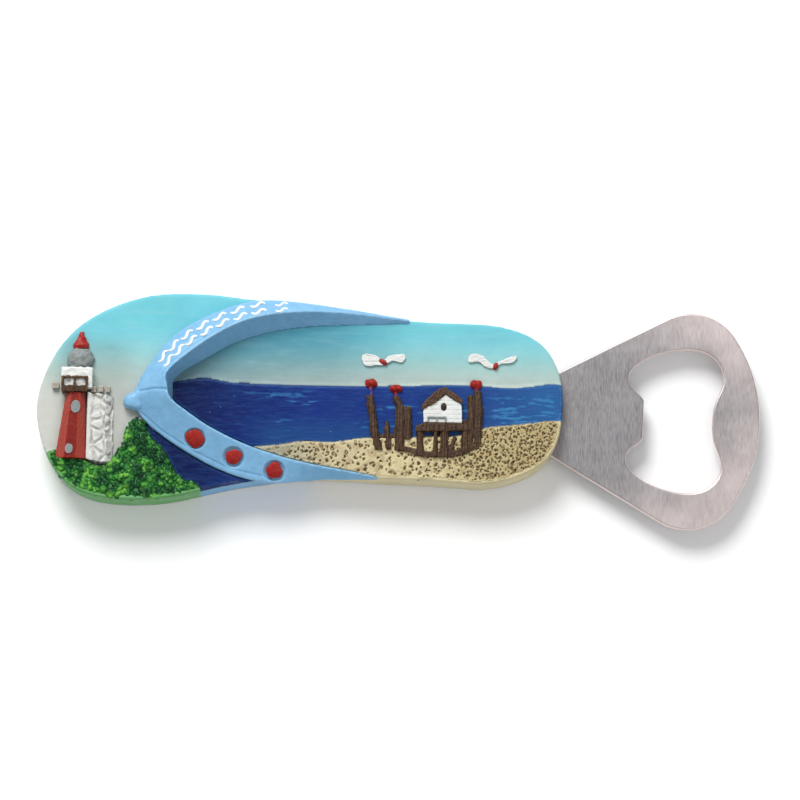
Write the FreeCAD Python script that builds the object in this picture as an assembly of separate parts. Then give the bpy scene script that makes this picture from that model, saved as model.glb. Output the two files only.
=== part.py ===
import FreeCAD, Part
import math
import os
from collections import namedtuple
from FreeCAD import Vector

# Souvenir bottle opener: a cast resin flip-flop sandal with a painted beach scene in relief, and a
# stamped steel crown-cap opener blade cast into its ball end. Millimetres throughout.
# +X runs along the sandal towards the opener, +Y towards the sky side of the scene and +Z out of
# the painted face. The origin is the middle of the flat back face.

# ---- driving dimensions -------------------------------------------------------------------------

SOLE_THICKNESS = 8.0
BACK_EDGE_RADIUS = 0.4
FACE = SOLE_THICKNESS               # height of the painted face, where every relief starts

SEA_RISE = 0.35
BEACH_RISE = 1.0
DUNE_RISE = 1.5

BLADE_THICKNESS = 2.0
BLADE_BOTTOM = 3.0                  # height of the blade's lower face above the back of the sole
BLADE_ROOT = (49.5, -1.7)           # where the blade's centre line leaves the sole
BLADE_YAW = -1.5                    # degrees, the blade sits slightly askew in the casting
BLADE_REACH = 36.9                  # from the root to the far end of the head
BLADE_ROOT_HALF_WIDTH = 8.85
BLADE_FLANK_ANGLE = 29.0            # each flank against the blade's centre line
BLADE_END_RADIUS = 28.3
BLADE_SHOULDER_RADIUS = 10.0
BLADE_EDGE_RADIUS = 0.3
TANG_LENGTH = 22.0
TANG_HALF_WIDTH = 7.0
TANG_HOLE_RADIUS = 3.0
TANG_HOLE_INSETS = (7.0, 16.0)      # distance of each anchor hole from the root

TAB_EDGE = 15.05                    # the lifting tab's edge, measured from the root
TAB_HALF_WIDTH = 3.5
FULCRUM_EDGE = 28.0                 # the far edge that rests on top of the cap

MAGNET_RADIUS = 9.0
MAGNET_THICKNESS = 3.0
MAGNET_CENTRES = ((-24.0, 0.0), (10.0, 0.0))

STRAP_BASE = 7.0                    # arms are drawn down to here, then trimmed to the sole
TRIM = 40.0                         # larger than anything on the part, for trimming blocks

# Sole outline, anticlockwise from the ball end; one closed smooth curve runs through the points.
SOLE_OUTLINE = [
    (49.25, -1.2), (48.7, 5.2), (45.9, 10.6), (41.0, 13.6), (33.5, 14.9), (24.0, 15.1),
    (12.0, 16.1), (0.0, 17.6), (-11.0, 19.0), (-21.0, 19.75), (-30.3, 18.7), (-37.7, 15.7),
    (-43.3, 11.4), (-46.85, 6.0), (-49.1, -2.8), (-48.2, -8.2), (-45.6, -13.9), (-41.8, -17.6),
    (-37.0, -19.3), (-31.5, -19.75), (-24.0, -19.15), (-14.6, -16.95), (-5.0, -15.2),
    (4.1, -14.45), (15.0, -14.8), (27.0, -15.2), (35.2, -15.45), (41.6, -13.8), (46.2, -10.8),
    (48.6, -6.4),
]

# Half of the crown-cap opening beyond the tab, along and across the blade's centre line.
OPENING_HALF = [
    (14.0, 4.75), (12.55, 6.0), (12.0, 7.5), (12.6, 9.3), (15.0, 11.4), (19.0, 13.0),
    (23.3, 13.65), (27.3, 12.7), (29.6, 10.0), (29.75, 7.3), (28.5, 3.9),
]

# One station of the strap: outer foot, crest, run of the inner wall in plan, and two heights.
Station = namedtuple("Station", "outer crest wall z_outer z_crest")

UPPER_ARM = [
    Station((-29.8, 3.1), (-24.9, 3.2), 1.5, 9.7, 13.3),
    Station((-27.7, 6.4), (-23.5, 5.2), 1.7, 9.7, 13.3),
    Station((-23.5, 11.5), (-19.8, 8.4), 2.2, 9.6, 13.1),
    Station((-17.1, 15.4), (-14.6, 12.0), 2.6, 9.6, 12.7),
    Station((-9.6, 18.1), (-8.6, 14.7), 2.9, 9.5, 12.1),
    Station((-0.3, 18.15), (-0.2, 16.1), 2.6, 9.4, 11.2),
    Station((10.0, 16.9), (10.0, 16.1), 2.0, 9.2, 9.9),
    Station((20.3, 15.5), (20.3, 15.1), 0.5, 8.4, 8.7),
]
SADDLE_MIDDLE = Station((-30.9, -0.1), (-24.6, 1.5), 0.9, 10.4, 13.3)
LOWER_ARM = [
    Station((-30.2, -2.9), (-24.3, -0.2), 0.6, 9.6, 13.2),
    Station((-26.2, -7.0), (-21.9, -2.6), 0.5, 9.4, 12.7),
    Station((-20.5, -10.7), (-17.8, -5.3), 0.4, 9.2, 12.0),
    Station((-13.1, -14.3), (-10.9, -8.7), 0.4, 8.9, 11.1),
    Station((-4.9, -15.9), (-3.6, -11.1), 0.4, 8.6, 10.3),
    Station((3.6, -15.2), (4.3, -12.8), 0.35, 7.6, 9.7),
    Station((10.5, -15.0), (10.8, -13.8), 0.3, 8.0, 9.2),
    Station((14.8, -14.95), (14.8, -14.55), 0.2, 8.3, 8.8),
]

DOT_RADIUS = 1.85
DOT_SINK = 0.3
DOT_PROUD = 0.15
DOT_PLACES = ((2, 0.46), (3, 0.50), (4, 0.42))      # station of the lower arm, share of its width

MARK_COUNT = 8
MARK_FIRST, MARK_LAST = 1.2, 4.62                   # along the upper arm, counted in stations
MARK_SHARE = 0.47
MARK_LENGTH = 2.7
MARK_AMPLITUDE = 0.5
MARK_WIDTH = 0.55
MARK_GAP = 1.9                                      # between the two waves of one mark
MARK_FULL_BAND = 3.9                                # on a narrower band the marks are made smaller
MARK_SINK = 0.4
MARK_PROUD = 0.25

# Shore line between sea and sand, horizon between sea and sky, and the dune's own edge.
SHORE = [
    (-12.0, -9.6), (-7.3, -9.1), (-3.4, -8.7), (0.8, -8.0), (6.1, -8.1), (9.9, -7.5), (19.0, -7.0),
    (24.6, -6.7), (30.3, -6.3), (34.4, -5.0), (38.1, -4.4), (42.1, -4.0), (46.0, -3.4), (51.5, -4.0),
]
BEACH_START = 1.5                                   # outside the strap the sand starts only here
HORIZON = [
    (-27.0, 3.0), (-20.8, 3.3), (-18.0, 3.6), (-14.0, 3.1), (-7.1, 2.7), (6.0, 2.5), (22.5, 3.0),
    (31.4, 3.2), (42.8, 3.1), (46.8, 3.6), (51.5, 3.0),
]
DUNE_EDGE = [
    (-49.5, -9.4), (-47.3, -11.0), (-45.2, -11.0), (-41.0, -12.1), (-38.3, -13.1), (-35.4, -13.2),
    (-33.6, -10.8), (-32.3, -7.9), (-30.7, -4.6), (-29.3, -4.8), (-28.2, -7.0), (-26.0, -9.4),
    (-23.9, -12.4), (-21.9, -15.3), (-18.5, -16.9), (-17.8, -19.5),
]

TOWER_TOP = (0.6, -43.5, -39.9)                     # y, left x, right x
TOWER_FOOT = (-12.2, -45.3, -39.5)
TOWER_RISE = 2.6
TOWER_SHOULDER = 1.3                                # height at which the side facets start
TOWER_FACET = 0.3                                   # share of the width taken by each side facet

LANTERN_X, LANTERN_Y = (-44.4, -38.7), (1.0, 4.9)
LANTERN_RISE = 2.5
RAILING_X, RAILING_Y = (-44.3, -39.5), (0.25, 3.1)
RAILING_RISE = 3.1
RAILING_POSTS = 3
GALLERY_BAR = 0.35
HUT_BAR = 0.25

DOME_PROFILE = [(4.9, 1.95), (5.7, 2.45), (6.9, 2.55), (7.8, 2.2), (8.6, 1.5)]      # y, radius
FINIAL_PROFILE = [(8.6, 1.35), (9.3, 1.55), (10.4, 1.05), (11.1, 0.6), (11.9, 0.4)]
LANTERN_AXIS_X = -41.05

ANNEX_TOP = [(-39.5, 0.3), (-36.0, -0.1), (-35.8, -12.7), (-37.5, -12.9), (-39.5, -12.2)]
ANNEX_RISE = 1.9
ANNEX_SIDE = 1.4                                    # run of the sloping shaded side
MERLONS = ((-38.5, 1.0, 1.0), (-37.1, 1.1, 0.9), (-35.8, 1.1, 0.8), (-45.6, 1.6, 1.3))

GULL_LEFT = [
    (11.7, 7.2), (11.8, 8.6), (13.2, 8.7), (14.7, 8.2), (15.5, 7.7), (16.3, 8.3), (17.8, 8.8),
    (19.7, 8.6), (19.3, 7.4), (17.2, 7.5), (16.0, 6.8), (13.9, 6.6),
]
GULL_RIGHT = [
    (31.4, 8.0), (31.7, 8.9), (34.3, 8.7), (35.8, 7.4), (37.6, 8.0), (40.6, 8.7), (40.0, 7.8),
    (37.4, 7.2), (36.5, 6.6), (34.4, 6.9), (33.4, 7.6),
]
GULL_RISE = 0.5
GULL_BODIES = ((15.5, 7.3, 0.95, 0.5, -30.0), (36.6, 6.9, 0.75, 0.5, 75.0))

PILE_RISE = 1.7
# Each trunk is a list of stations: x, y, width and share of the full height.
PILE_LEFT = [
    [(13.2, 0.8, 1.4, 0.9), (13.7, -3.0, 1.3, 1.0), (14.3, -6.9, 1.5, 1.0), (15.1, -9.4, 1.7, 0.9)],
]
PILE_MIDDLE = [
    [(18.0, 0.7, 1.3, 0.9), (18.8, -1.2, 1.5, 1.0), (19.0, -3.2, 1.9, 1.0), (18.9, -9.4, 2.0, 1.0)],
    [(20.1, -1.2, 1.6, 0.8), (20.3, -4.0, 1.3, 0.9), (20.5, -7.4, 1.5, 0.9)],
    [(16.5, -3.9, 0.5, 0.6), (16.5, -5.4, 1.0, 0.8), (16.9, -9.2, 1.3, 0.9)],
    [(16.9, -6.4, 6.6, 0.55), (16.9, -8.3, 6.2, 0.6), (17.6, -9.9, 4.6, 0.6)],
]
PILE_RIGHT = [
    [(33.3, 2.0, 1.5, 0.9), (33.4, -1.0, 1.7, 1.0), (33.4, -6.3, 1.8, 1.0), (33.6, -8.1, 1.7, 0.9)],
    [(32.0, 1.1, 1.1, 0.75), (32.2, -2.8, 1.3, 0.85), (32.0, -6.2, 1.5, 0.85), (31.9, -8.9, 1.7, 0.8)],
    [(30.9, -3.4, 0.7, 0.6), (31.2, -6.2, 1.0, 0.7)],
]
# Red lamps on top of the piles: x, y of the middle, width, height along y.
PILE_CAPS = ((13.35, 3.25, 2.3, 1.7), (18.1, 2.25, 2.6, 1.5), (33.0, 3.25, 2.4, 1.9))
CAP_NECK = 0.6
CAP_RISE = 1.5

HUT_WALL = [(23.1, -0.9), (25.0, -0.5), (27.2, 1.3), (30.3, 0.1), (30.5, -4.2), (23.3, -4.2)]
HUT_WALL_RISE = 1.7
ROOF_LINE = [(22.9, -0.9), (24.9, 1.2), (26.4, 2.3), (27.4, 2.4), (28.6, 1.6), (30.4, 0.3)]
EAVES_LINE = [(30.4, -0.7), (28.7, 0.35), (27.3, 1.2), (25.2, -0.5), (22.9, -1.8)]
ROOF_RISE = 2.1
HUT_WINDOW = (27.0, -1.2, 0.6, 0.8)                 # x, y, half width, half height
HUT_RAIL = (24.0, 27.5, -3.1)                       # first x, last x, y
HUT_DECK = [(21.9, -4.9), (23.4, -4.2), (30.2, -4.2), (31.5, -4.6), (31.5, -5.5), (21.9, -5.9)]
DECK_RISE = 1.9
STILTS = [
    [(22.7, -5.6, 1.5, 0.9), (22.7, -8.0, 1.4, 0.9), (22.9, -10.5, 1.6, 0.9)],
    [(25.6, -5.6, 0.8, 0.9), (25.5, -10.5, 0.9, 0.9)],
    [(27.1, -5.5, 1.8, 0.9), (27.2, -8.0, 1.6, 0.9), (27.2, -10.6, 2.2, 0.9)],
    [(29.2, -6.7, 0.8, 0.8), (28.4, -9.0, 1.0, 0.8), (28.2, -10.4, 1.0, 0.8)],
    [(31.2, -5.3, 1.7, 0.9), (31.1, -8.0, 1.5, 0.9), (31.1, -9.6, 1.7, 0.9)],
]
# Ground beam that ties the feet of the stilts and piles together.
GROUND_BEAM = [
    (18.6, -8.7), (20.6, -8.8), (23.0, -9.6), (28.2, -9.7), (30.0, -8.9), (33.6, -7.9), (33.6, -8.6),
    (31.0, -9.8), (28.4, -10.6), (22.9, -10.6), (20.8, -9.7), (18.6, -9.7),
]
BEAM_RISE = 1.4
THIN_PLATE = 0.2


# ---- shape helpers ------------------------------------------------------------------------------

def spline_edge(points, z, closed=False):
    """One smooth edge through the points at height z."""
    curve = Part.BSplineCurve()
    curve.interpolate([Vector(x, y, z) for x, y in points], PeriodicFlag=closed)
    return curve.toShape()


def polygon_face(points, z):
    corners = [Vector(x, y, z) for x, y in points]
    return Part.Face(Part.makePolygon(corners + corners[:1]))


def slab(points, rise, base=FACE, smooth=False):
    """A flat plate of the outline, from base up by rise."""
    if smooth:
        face = Part.Face(Part.Wire([spline_edge(points, base, closed=True)]))
    else:
        face = polygon_face(points, base)
    return face.extrude(Vector(0, 0, rise))


def block(x_range, y_range, z_range):
    size = [high - low for low, high in (x_range, y_range, z_range)]
    return Part.makeBox(*size, Vector(x_range[0], y_range[0], z_range[0]))


def region_below(line, rise, far_corners):
    """A plate bounded above by a smooth line and elsewhere by straight runs past the sole."""
    start, end = line[0], line[-1]
    corners = [Vector(x, y, FACE) for x, y in [end] + far_corners + [start]]
    runs = [Part.LineSegment(a, b).toShape() for a, b in zip(corners, corners[1:])]
    wire = Part.Wire([spline_edge(line, FACE)] + runs)
    return Part.Face(wire).extrude(Vector(0, 0, rise))


def without(shape, *tools):
    """The shape with every tool taken out of it."""
    return shape.cut(list(tools)) if tools else shape


def big_solids(shape, smallest=0.05):
    """Every solid of the shape that holds at least the given volume, in cubic millimetres."""
    return [solid for solid in shape.Solids if solid.Volume > smallest]


def as_one(shapes):
    """A single clean solid from overlapping shapes."""
    first, rest = shapes[0], shapes[1:]
    return (first.fuse(rest) if rest else first).removeSplitter()


def bevelled_loft(stations, rise, base=FACE):
    """A post lying on the face: x, y, width and height share at each station down its length."""
    wires = []
    for x, y, width, share in stations:
        half, top = width / 2, base + rise * share
        shoulder = base + rise * share * 0.6
        profile = [(-half, base), (-half, shoulder), (-half * 0.45, top),
                   (half * 0.45, top), (half, shoulder), (half, base)]
        corners = [Vector(x + dx, y, z) for dx, z in profile]
        wires.append(Part.makePolygon(corners + corners[:1]))
    return Part.makeLoft(wires, True, True)


def half_turned(profile, axis_x):
    """The front half of a shape turned about a line along Y on the face."""
    low, high = profile[0][0], profile[-1][0]
    outline = [(low, 0.0)] + list(profile) + [(high, 0.0)]
    corners = [Vector(axis_x + radius, y, FACE) for y, radius in outline]
    face = Part.Face(Part.makePolygon(corners + corners[:1]))
    solid = face.revolve(Vector(axis_x, 0, FACE), Vector(0, 1, 0), 360)
    above = block((-TRIM * 2, TRIM * 2), (-TRIM, TRIM), (FACE, FACE + TRIM))
    return solid.common(above)


def lens(x, y, half_length, half_width, height, turn, base=FACE):
    """A flat-based oval bump."""
    ball = Part.makeSphere(1.0)
    scale = FreeCAD.Matrix()
    scale.scale(half_length, half_width, height)
    bump = ball.transformGeometry(scale)
    bump.rotate(Vector(0, 0, 0), Vector(0, 0, 1), turn)
    bump.translate(Vector(x, y, base))
    above = block((x - TRIM, x + TRIM), (y - TRIM, y + TRIM), (base, base + TRIM))
    return bump.common(above)


# ---- sole, blade and magnets --------------------------------------------------------------------

def sole_blank():
    return slab(SOLE_OUTLINE, SOLE_THICKNESS, base=0.0, smooth=True)


def blade_outline():
    """Plan of the blade along +X from its root: tang, straight flanks and a shallow round end."""
    end_centre = BLADE_REACH - BLADE_END_RADIUS
    slope = math.tan(math.radians(BLADE_FLANK_ANGLE))
    # The flank meets the end arc where |(u - end_centre, root + slope u)| is the end radius.
    a = 1 + slope ** 2
    b = 2 * (slope * BLADE_ROOT_HALF_WIDTH - end_centre)
    c = end_centre ** 2 + BLADE_ROOT_HALF_WIDTH ** 2 - BLADE_END_RADIUS ** 2
    corner_u = (-b + math.sqrt(b * b - 4 * a * c)) / (2 * a)
    corner_v = BLADE_ROOT_HALF_WIDTH + slope * corner_u
    neck_u = (TANG_HALF_WIDTH - BLADE_ROOT_HALF_WIDTH) / slope
    side = [(-TANG_LENGTH, TANG_HALF_WIDTH), (neck_u, TANG_HALF_WIDTH), (corner_u, corner_v)]
    upper = [Vector(u, v, 0) for u, v in side]
    lower = [Vector(u, -v, 0) for u, v in side]
    arc = Part.Arc(upper[-1], Vector(BLADE_REACH, 0, 0), lower[-1]).toShape()
    run = [Part.LineSegment(p, q).toShape() for p, q in zip(upper, upper[1:])]
    back = [Part.LineSegment(p, q).toShape() for p, q in zip(lower, lower[1:])]
    tang_end = Part.LineSegment(lower[0], upper[0]).toShape()
    return Part.Wire(Part.__sortEdges__(run + [arc] + back + [tang_end])), corner_u


def opening_outline():
    """Plan of the crown-cap opening: straight tab edge, hooks each side and the fulcrum edge."""
    half = [(TAB_EDGE, TAB_HALF_WIDTH)] + OPENING_HALF + [(FULCRUM_EDGE, 0.0)]
    mirrored = [(u, -v) for u, v in reversed(half[:-1])]
    tab = Part.LineSegment(Vector(TAB_EDGE, -TAB_HALF_WIDTH, 0), Vector(TAB_EDGE, TAB_HALF_WIDTH, 0))
    return Part.Wire([tab.toShape(), spline_edge(half + mirrored, 0.0)])


def opener_blade():
    outline, corner_u = blade_outline()
    plate = Part.Face(outline).extrude(Vector(0, 0, BLADE_THICKNESS))
    shoulders = [edge for edge in plate.Edges
                 if edge.BoundBox.ZLength > BLADE_THICKNESS / 2
                 and abs(edge.CenterOfMass.x - corner_u) < 0.1]
    plate = plate.makeFillet(BLADE_SHOULDER_RADIUS, shoulders)
    plate = plate.cut(Part.Face(opening_outline()).extrude(Vector(0, 0, BLADE_THICKNESS)))
    rims = [edge for edge in plate.Edges
            if edge.BoundBox.ZLength < 0.01 and edge.BoundBox.XMax > 0.5]
    plate = plate.makeFillet(BLADE_EDGE_RADIUS, rims)
    for inset in TANG_HOLE_INSETS:
        hole = Part.makeCylinder(TANG_HOLE_RADIUS, BLADE_THICKNESS, Vector(-inset, 0, 0))
        plate = plate.cut(hole)
    plate.rotate(Vector(0, 0, 0), Vector(0, 0, 1), BLADE_YAW)
    plate.translate(Vector(*BLADE_ROOT, BLADE_BOTTOM))
    return plate


def magnet_discs():
    return [Part.makeCylinder(MAGNET_RADIUS, MAGNET_THICKNESS, Vector(x, y, 0))
            for x, y in MAGNET_CENTRES]


def sole(blank, blade, magnets):
    rim = [edge for edge in blank.Edges if edge.BoundBox.ZMax < 0.01]
    return without(blank.makeFillet(BACK_EDGE_RADIUS, rim), blade, *magnets)


# ---- strap --------------------------------------------------------------------------------------

def strap_section(station):
    """Corners of the strap's section: outer base, outer top, crest and inner base."""
    outer, crest = Vector(*station.outer, 0), Vector(*station.crest, 0)
    inward = (crest - outer).normalize()
    reach = station.wall * (station.z_crest - STRAP_BASE) / (station.z_crest - FACE)
    inner = crest + inward * reach
    return [
        Vector(outer.x, outer.y, STRAP_BASE),
        Vector(outer.x, outer.y, station.z_outer),
        Vector(crest.x, crest.y, station.z_crest),
        Vector(inner.x, inner.y, STRAP_BASE),
    ]


def strap_rails(stations):
    """Four smooth lines along the strap, one through each corner, and where each station lies."""
    sections = [strap_section(station) for station in stations]
    along = [0.0]
    for here, ahead in zip(sections, sections[1:]):
        middle_step = (ahead[1] + ahead[2] - here[1] - here[2]) * 0.5
        along.append(along[-1] + middle_step.Length)
    rails = []
    for corner in range(4):
        rail = Part.BSplineCurve()
        rail.interpolate(Points=[section[corner] for section in sections], Parameters=along)
        rails.append(rail)
    return rails, along


def strap_piece(rails, start, end, blank):
    """The stretch of strap between two places along its rails, trimmed to sit on the sole."""
    edges = []
    for rail in rails:
        stretch = rail.copy()
        stretch.segment(start, end)
        edges.append(stretch.toShape())
    faces = [Part.makeRuledSurface(edges[i], edges[(i + 1) % 4]) for i in range(4)]
    for place in (start, end):
        corners = [rail.value(place) for rail in rails]
        faces.append(Part.Face(Part.makePolygon(corners + corners[:1])))
    shell = Part.makeShell(faces)
    shell.sewShape()
    body = Part.makeSolid(shell.Shells[0])
    if body.Volume < 0:
        body.reverse()
    return max(body.cut(blank).Solids, key=lambda solid: solid.Volume)


def strap_frame(stations, along, share):
    """Frame on the strap's sloping top (point, lengthwise, crosswise, normal) and the top's width."""
    def top_point(at, part):
        index = min(int(at), len(stations) - 2)
        mix = at - index
        here, ahead = stations[index], stations[index + 1]
        outer = Vector(*here.outer, here.z_outer) * (1 - mix)
        outer += Vector(*ahead.outer, ahead.z_outer) * mix
        crest = Vector(*here.crest, here.z_crest) * (1 - mix)
        crest += Vector(*ahead.crest, ahead.z_crest) * mix
        return outer * (1 - part) + crest * part

    point = top_point(along, share)
    band = (top_point(along, 1.0) - top_point(along, 0.0)).Length
    lengthwise = (top_point(along + 0.3, share) - top_point(max(along - 0.3, 0), share)).normalize()
    crosswise = (top_point(along, 1.0) - top_point(along, 0.0)).normalize()
    normal = lengthwise.cross(crosswise).normalize()
    if normal.z < 0:
        normal = normal * -1
    return (point, lengthwise, normal.cross(lengthwise), normal), band


def placed(shape, frame):
    """The shape moved from its own axes to a frame of point, X, Y and Z directions."""
    point, x_axis, y_axis, z_axis = frame
    matrix = FreeCAD.Matrix(
        x_axis.x, y_axis.x, z_axis.x, point.x,
        x_axis.y, y_axis.y, z_axis.y, point.y,
        x_axis.z, y_axis.z, z_axis.z, point.z,
        0, 0, 0, 1)
    moved = shape.copy()
    moved.Placement = FreeCAD.Placement(matrix)
    return moved


def strap_dots():
    disc = Part.makeCylinder(DOT_RADIUS, DOT_SINK + DOT_PROUD, Vector(0, 0, -DOT_SINK))
    return [placed(disc, strap_frame(LOWER_ARM, station, share)[0]) for station, share in DOT_PLACES]


def wave_ribbon(offset, size):
    """One short wave of constant width, lying along X at the given offset."""
    steps = 5
    half = MARK_WIDTH / 2
    length = MARK_LENGTH * size
    middle = []
    for step in range(steps):
        x = length * (step / (steps - 1) - 0.5)
        rise = MARK_AMPLITUDE * size * math.sin(2 * math.pi * x / length)
        middle.append((x, offset * size + rise))
    upper = [(x, y + half) for x, y in middle]
    lower = [(x, y - half) for x, y in reversed(middle)]
    edges = [
        spline_edge(upper, -MARK_SINK),
        Part.LineSegment(Vector(*upper[-1], -MARK_SINK), Vector(*lower[0], -MARK_SINK)).toShape(),
        spline_edge(lower, -MARK_SINK),
        Part.LineSegment(Vector(*lower[-1], -MARK_SINK), Vector(*upper[0], -MARK_SINK)).toShape(),
    ]
    return Part.Face(Part.Wire(edges)).extrude(Vector(0, 0, MARK_SINK + MARK_PROUD))


def strap_wave_marks():
    marks = []
    for index in range(MARK_COUNT):
        along = MARK_FIRST + (MARK_LAST - MARK_FIRST) * index / (MARK_COUNT - 1)
        frame, band = strap_frame(UPPER_ARM, along, MARK_SHARE)
        size = min(1.0, band / MARK_FULL_BAND)
        marks += [placed(wave_ribbon(offset, size), frame) for offset in (-MARK_GAP / 2, MARK_GAP / 2)]
    return marks


def toe_post():
    post = block((-32.9, -29.0), (-3.0, 0.9), (FACE, FACE + 2.8))
    raised = [edge for edge in post.Edges if edge.BoundBox.ZMax > FACE + 0.1]
    return post.makeFillet(1.3, raised)


# ---- lighthouse ---------------------------------------------------------------------------------

def lighthouse_tower():
    """Half of an eight-sided tapering tower lying on the face."""
    wires = []
    for y, left, right in (TOWER_TOP, TOWER_FOOT):
        facet = (right - left) * TOWER_FACET
        profile = [(left, 0), (left, TOWER_SHOULDER), (left + facet, TOWER_RISE),
                   (right - facet, TOWER_RISE), (right, TOWER_SHOULDER), (right, 0)]
        corners = [Vector(x, y, FACE + z) for x, z in profile]
        wires.append(Part.makePolygon(corners + corners[:1]))
    return Part.makeLoft(wires, True, True)


def tower_plate(x, y, half_width, half_height):
    outline = Part.Ellipse(Vector(x, y, FACE + TOWER_RISE), half_height, half_width)
    face = Part.Face(Part.Wire([outline.toShape()]))
    face.rotate(Vector(x, y, 0), Vector(0, 0, 1), 90)
    return face.extrude(Vector(0, 0, THIN_PLATE))


def gallery_railing():
    """Gallery floor with a rail and posts standing proud of the lantern room."""
    base, top = FACE + LANTERN_RISE, FACE + RAILING_RISE
    low_y, high_y = RAILING_Y
    parts = [block(RAILING_X, (low_y, LANTERN_Y[0]), (FACE, top)),
             block(RAILING_X, (LANTERN_Y[0], LANTERN_Y[0] + GALLERY_BAR), (base, top)),
             block(RAILING_X, (high_y - GALLERY_BAR, high_y), (base, top))]
    span = RAILING_X[1] - RAILING_X[0] - GALLERY_BAR
    for index in range(RAILING_POSTS):
        x = RAILING_X[0] + span * index / (RAILING_POSTS - 1)
        parts.append(block((x, x + GALLERY_BAR), (LANTERN_Y[0], high_y), (base, top)))
    return as_one(parts)


def keepers_annex():
    """Stone block with an upright face towards the tower and a sloping shaded side."""
    foot = [(x + (ANNEX_SIDE if x > -37 else 0), y) for x, y in ANNEX_TOP]
    wires = []
    for outline, z in ((foot, FACE), (ANNEX_TOP, FACE + ANNEX_RISE)):
        corners = [Vector(x, y, z) for x, y in outline]
        wires.append(Part.makePolygon(corners + corners[:1]))
    return Part.makeLoft(wires, True, True)


def annex_battlements():
    return [block((x - size / 2, x + size / 2), (y - 0.6, y + 0.6), (FACE, FACE + 1.0))
            for x, y, size in MERLONS]


# ---- hut and piles ------------------------------------------------------------------------------

def roof():
    return slab(ROOF_LINE + EAVES_LINE, ROOF_RISE)


def hut_railing():
    first_x, last_x, y = HUT_RAIL
    base, top = FACE + HUT_WALL_RISE, FACE + HUT_WALL_RISE + 0.4
    bars = [block((first_x, last_x), (y - HUT_BAR, y), (base, top))]
    for x in (first_x, (first_x + last_x - HUT_BAR) / 2, last_x - HUT_BAR):
        bars.append(block((x, x + HUT_BAR), (HUT_DECK[1][1], y), (base, top)))
    return as_one(bars)


def hut_stilts(deck):
    parts = [bevelled_loft(stations, DECK_RISE) for stations in STILTS]
    parts.append(slab(GROUND_BEAM, BEAM_RISE))
    return without(as_one(parts), deck)


def pile_cap(x, y, width, height):
    """Two-lobed lamp with a thin neck down to its pile."""
    lobes = [lens(x - width * 0.14, y, width * 0.36, height / 2, CAP_RISE, 0),
             lens(x + width * 0.16, y, width * 0.34, height / 2, CAP_RISE * 0.9, 0)]
    neck = block((x - CAP_NECK / 2, x + CAP_NECK / 2), (y - height / 2 - 1.6, y), (FACE, FACE + 0.8))
    return as_one(lobes + [neck])


# ---- assembly -----------------------------------------------------------------------------------

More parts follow.
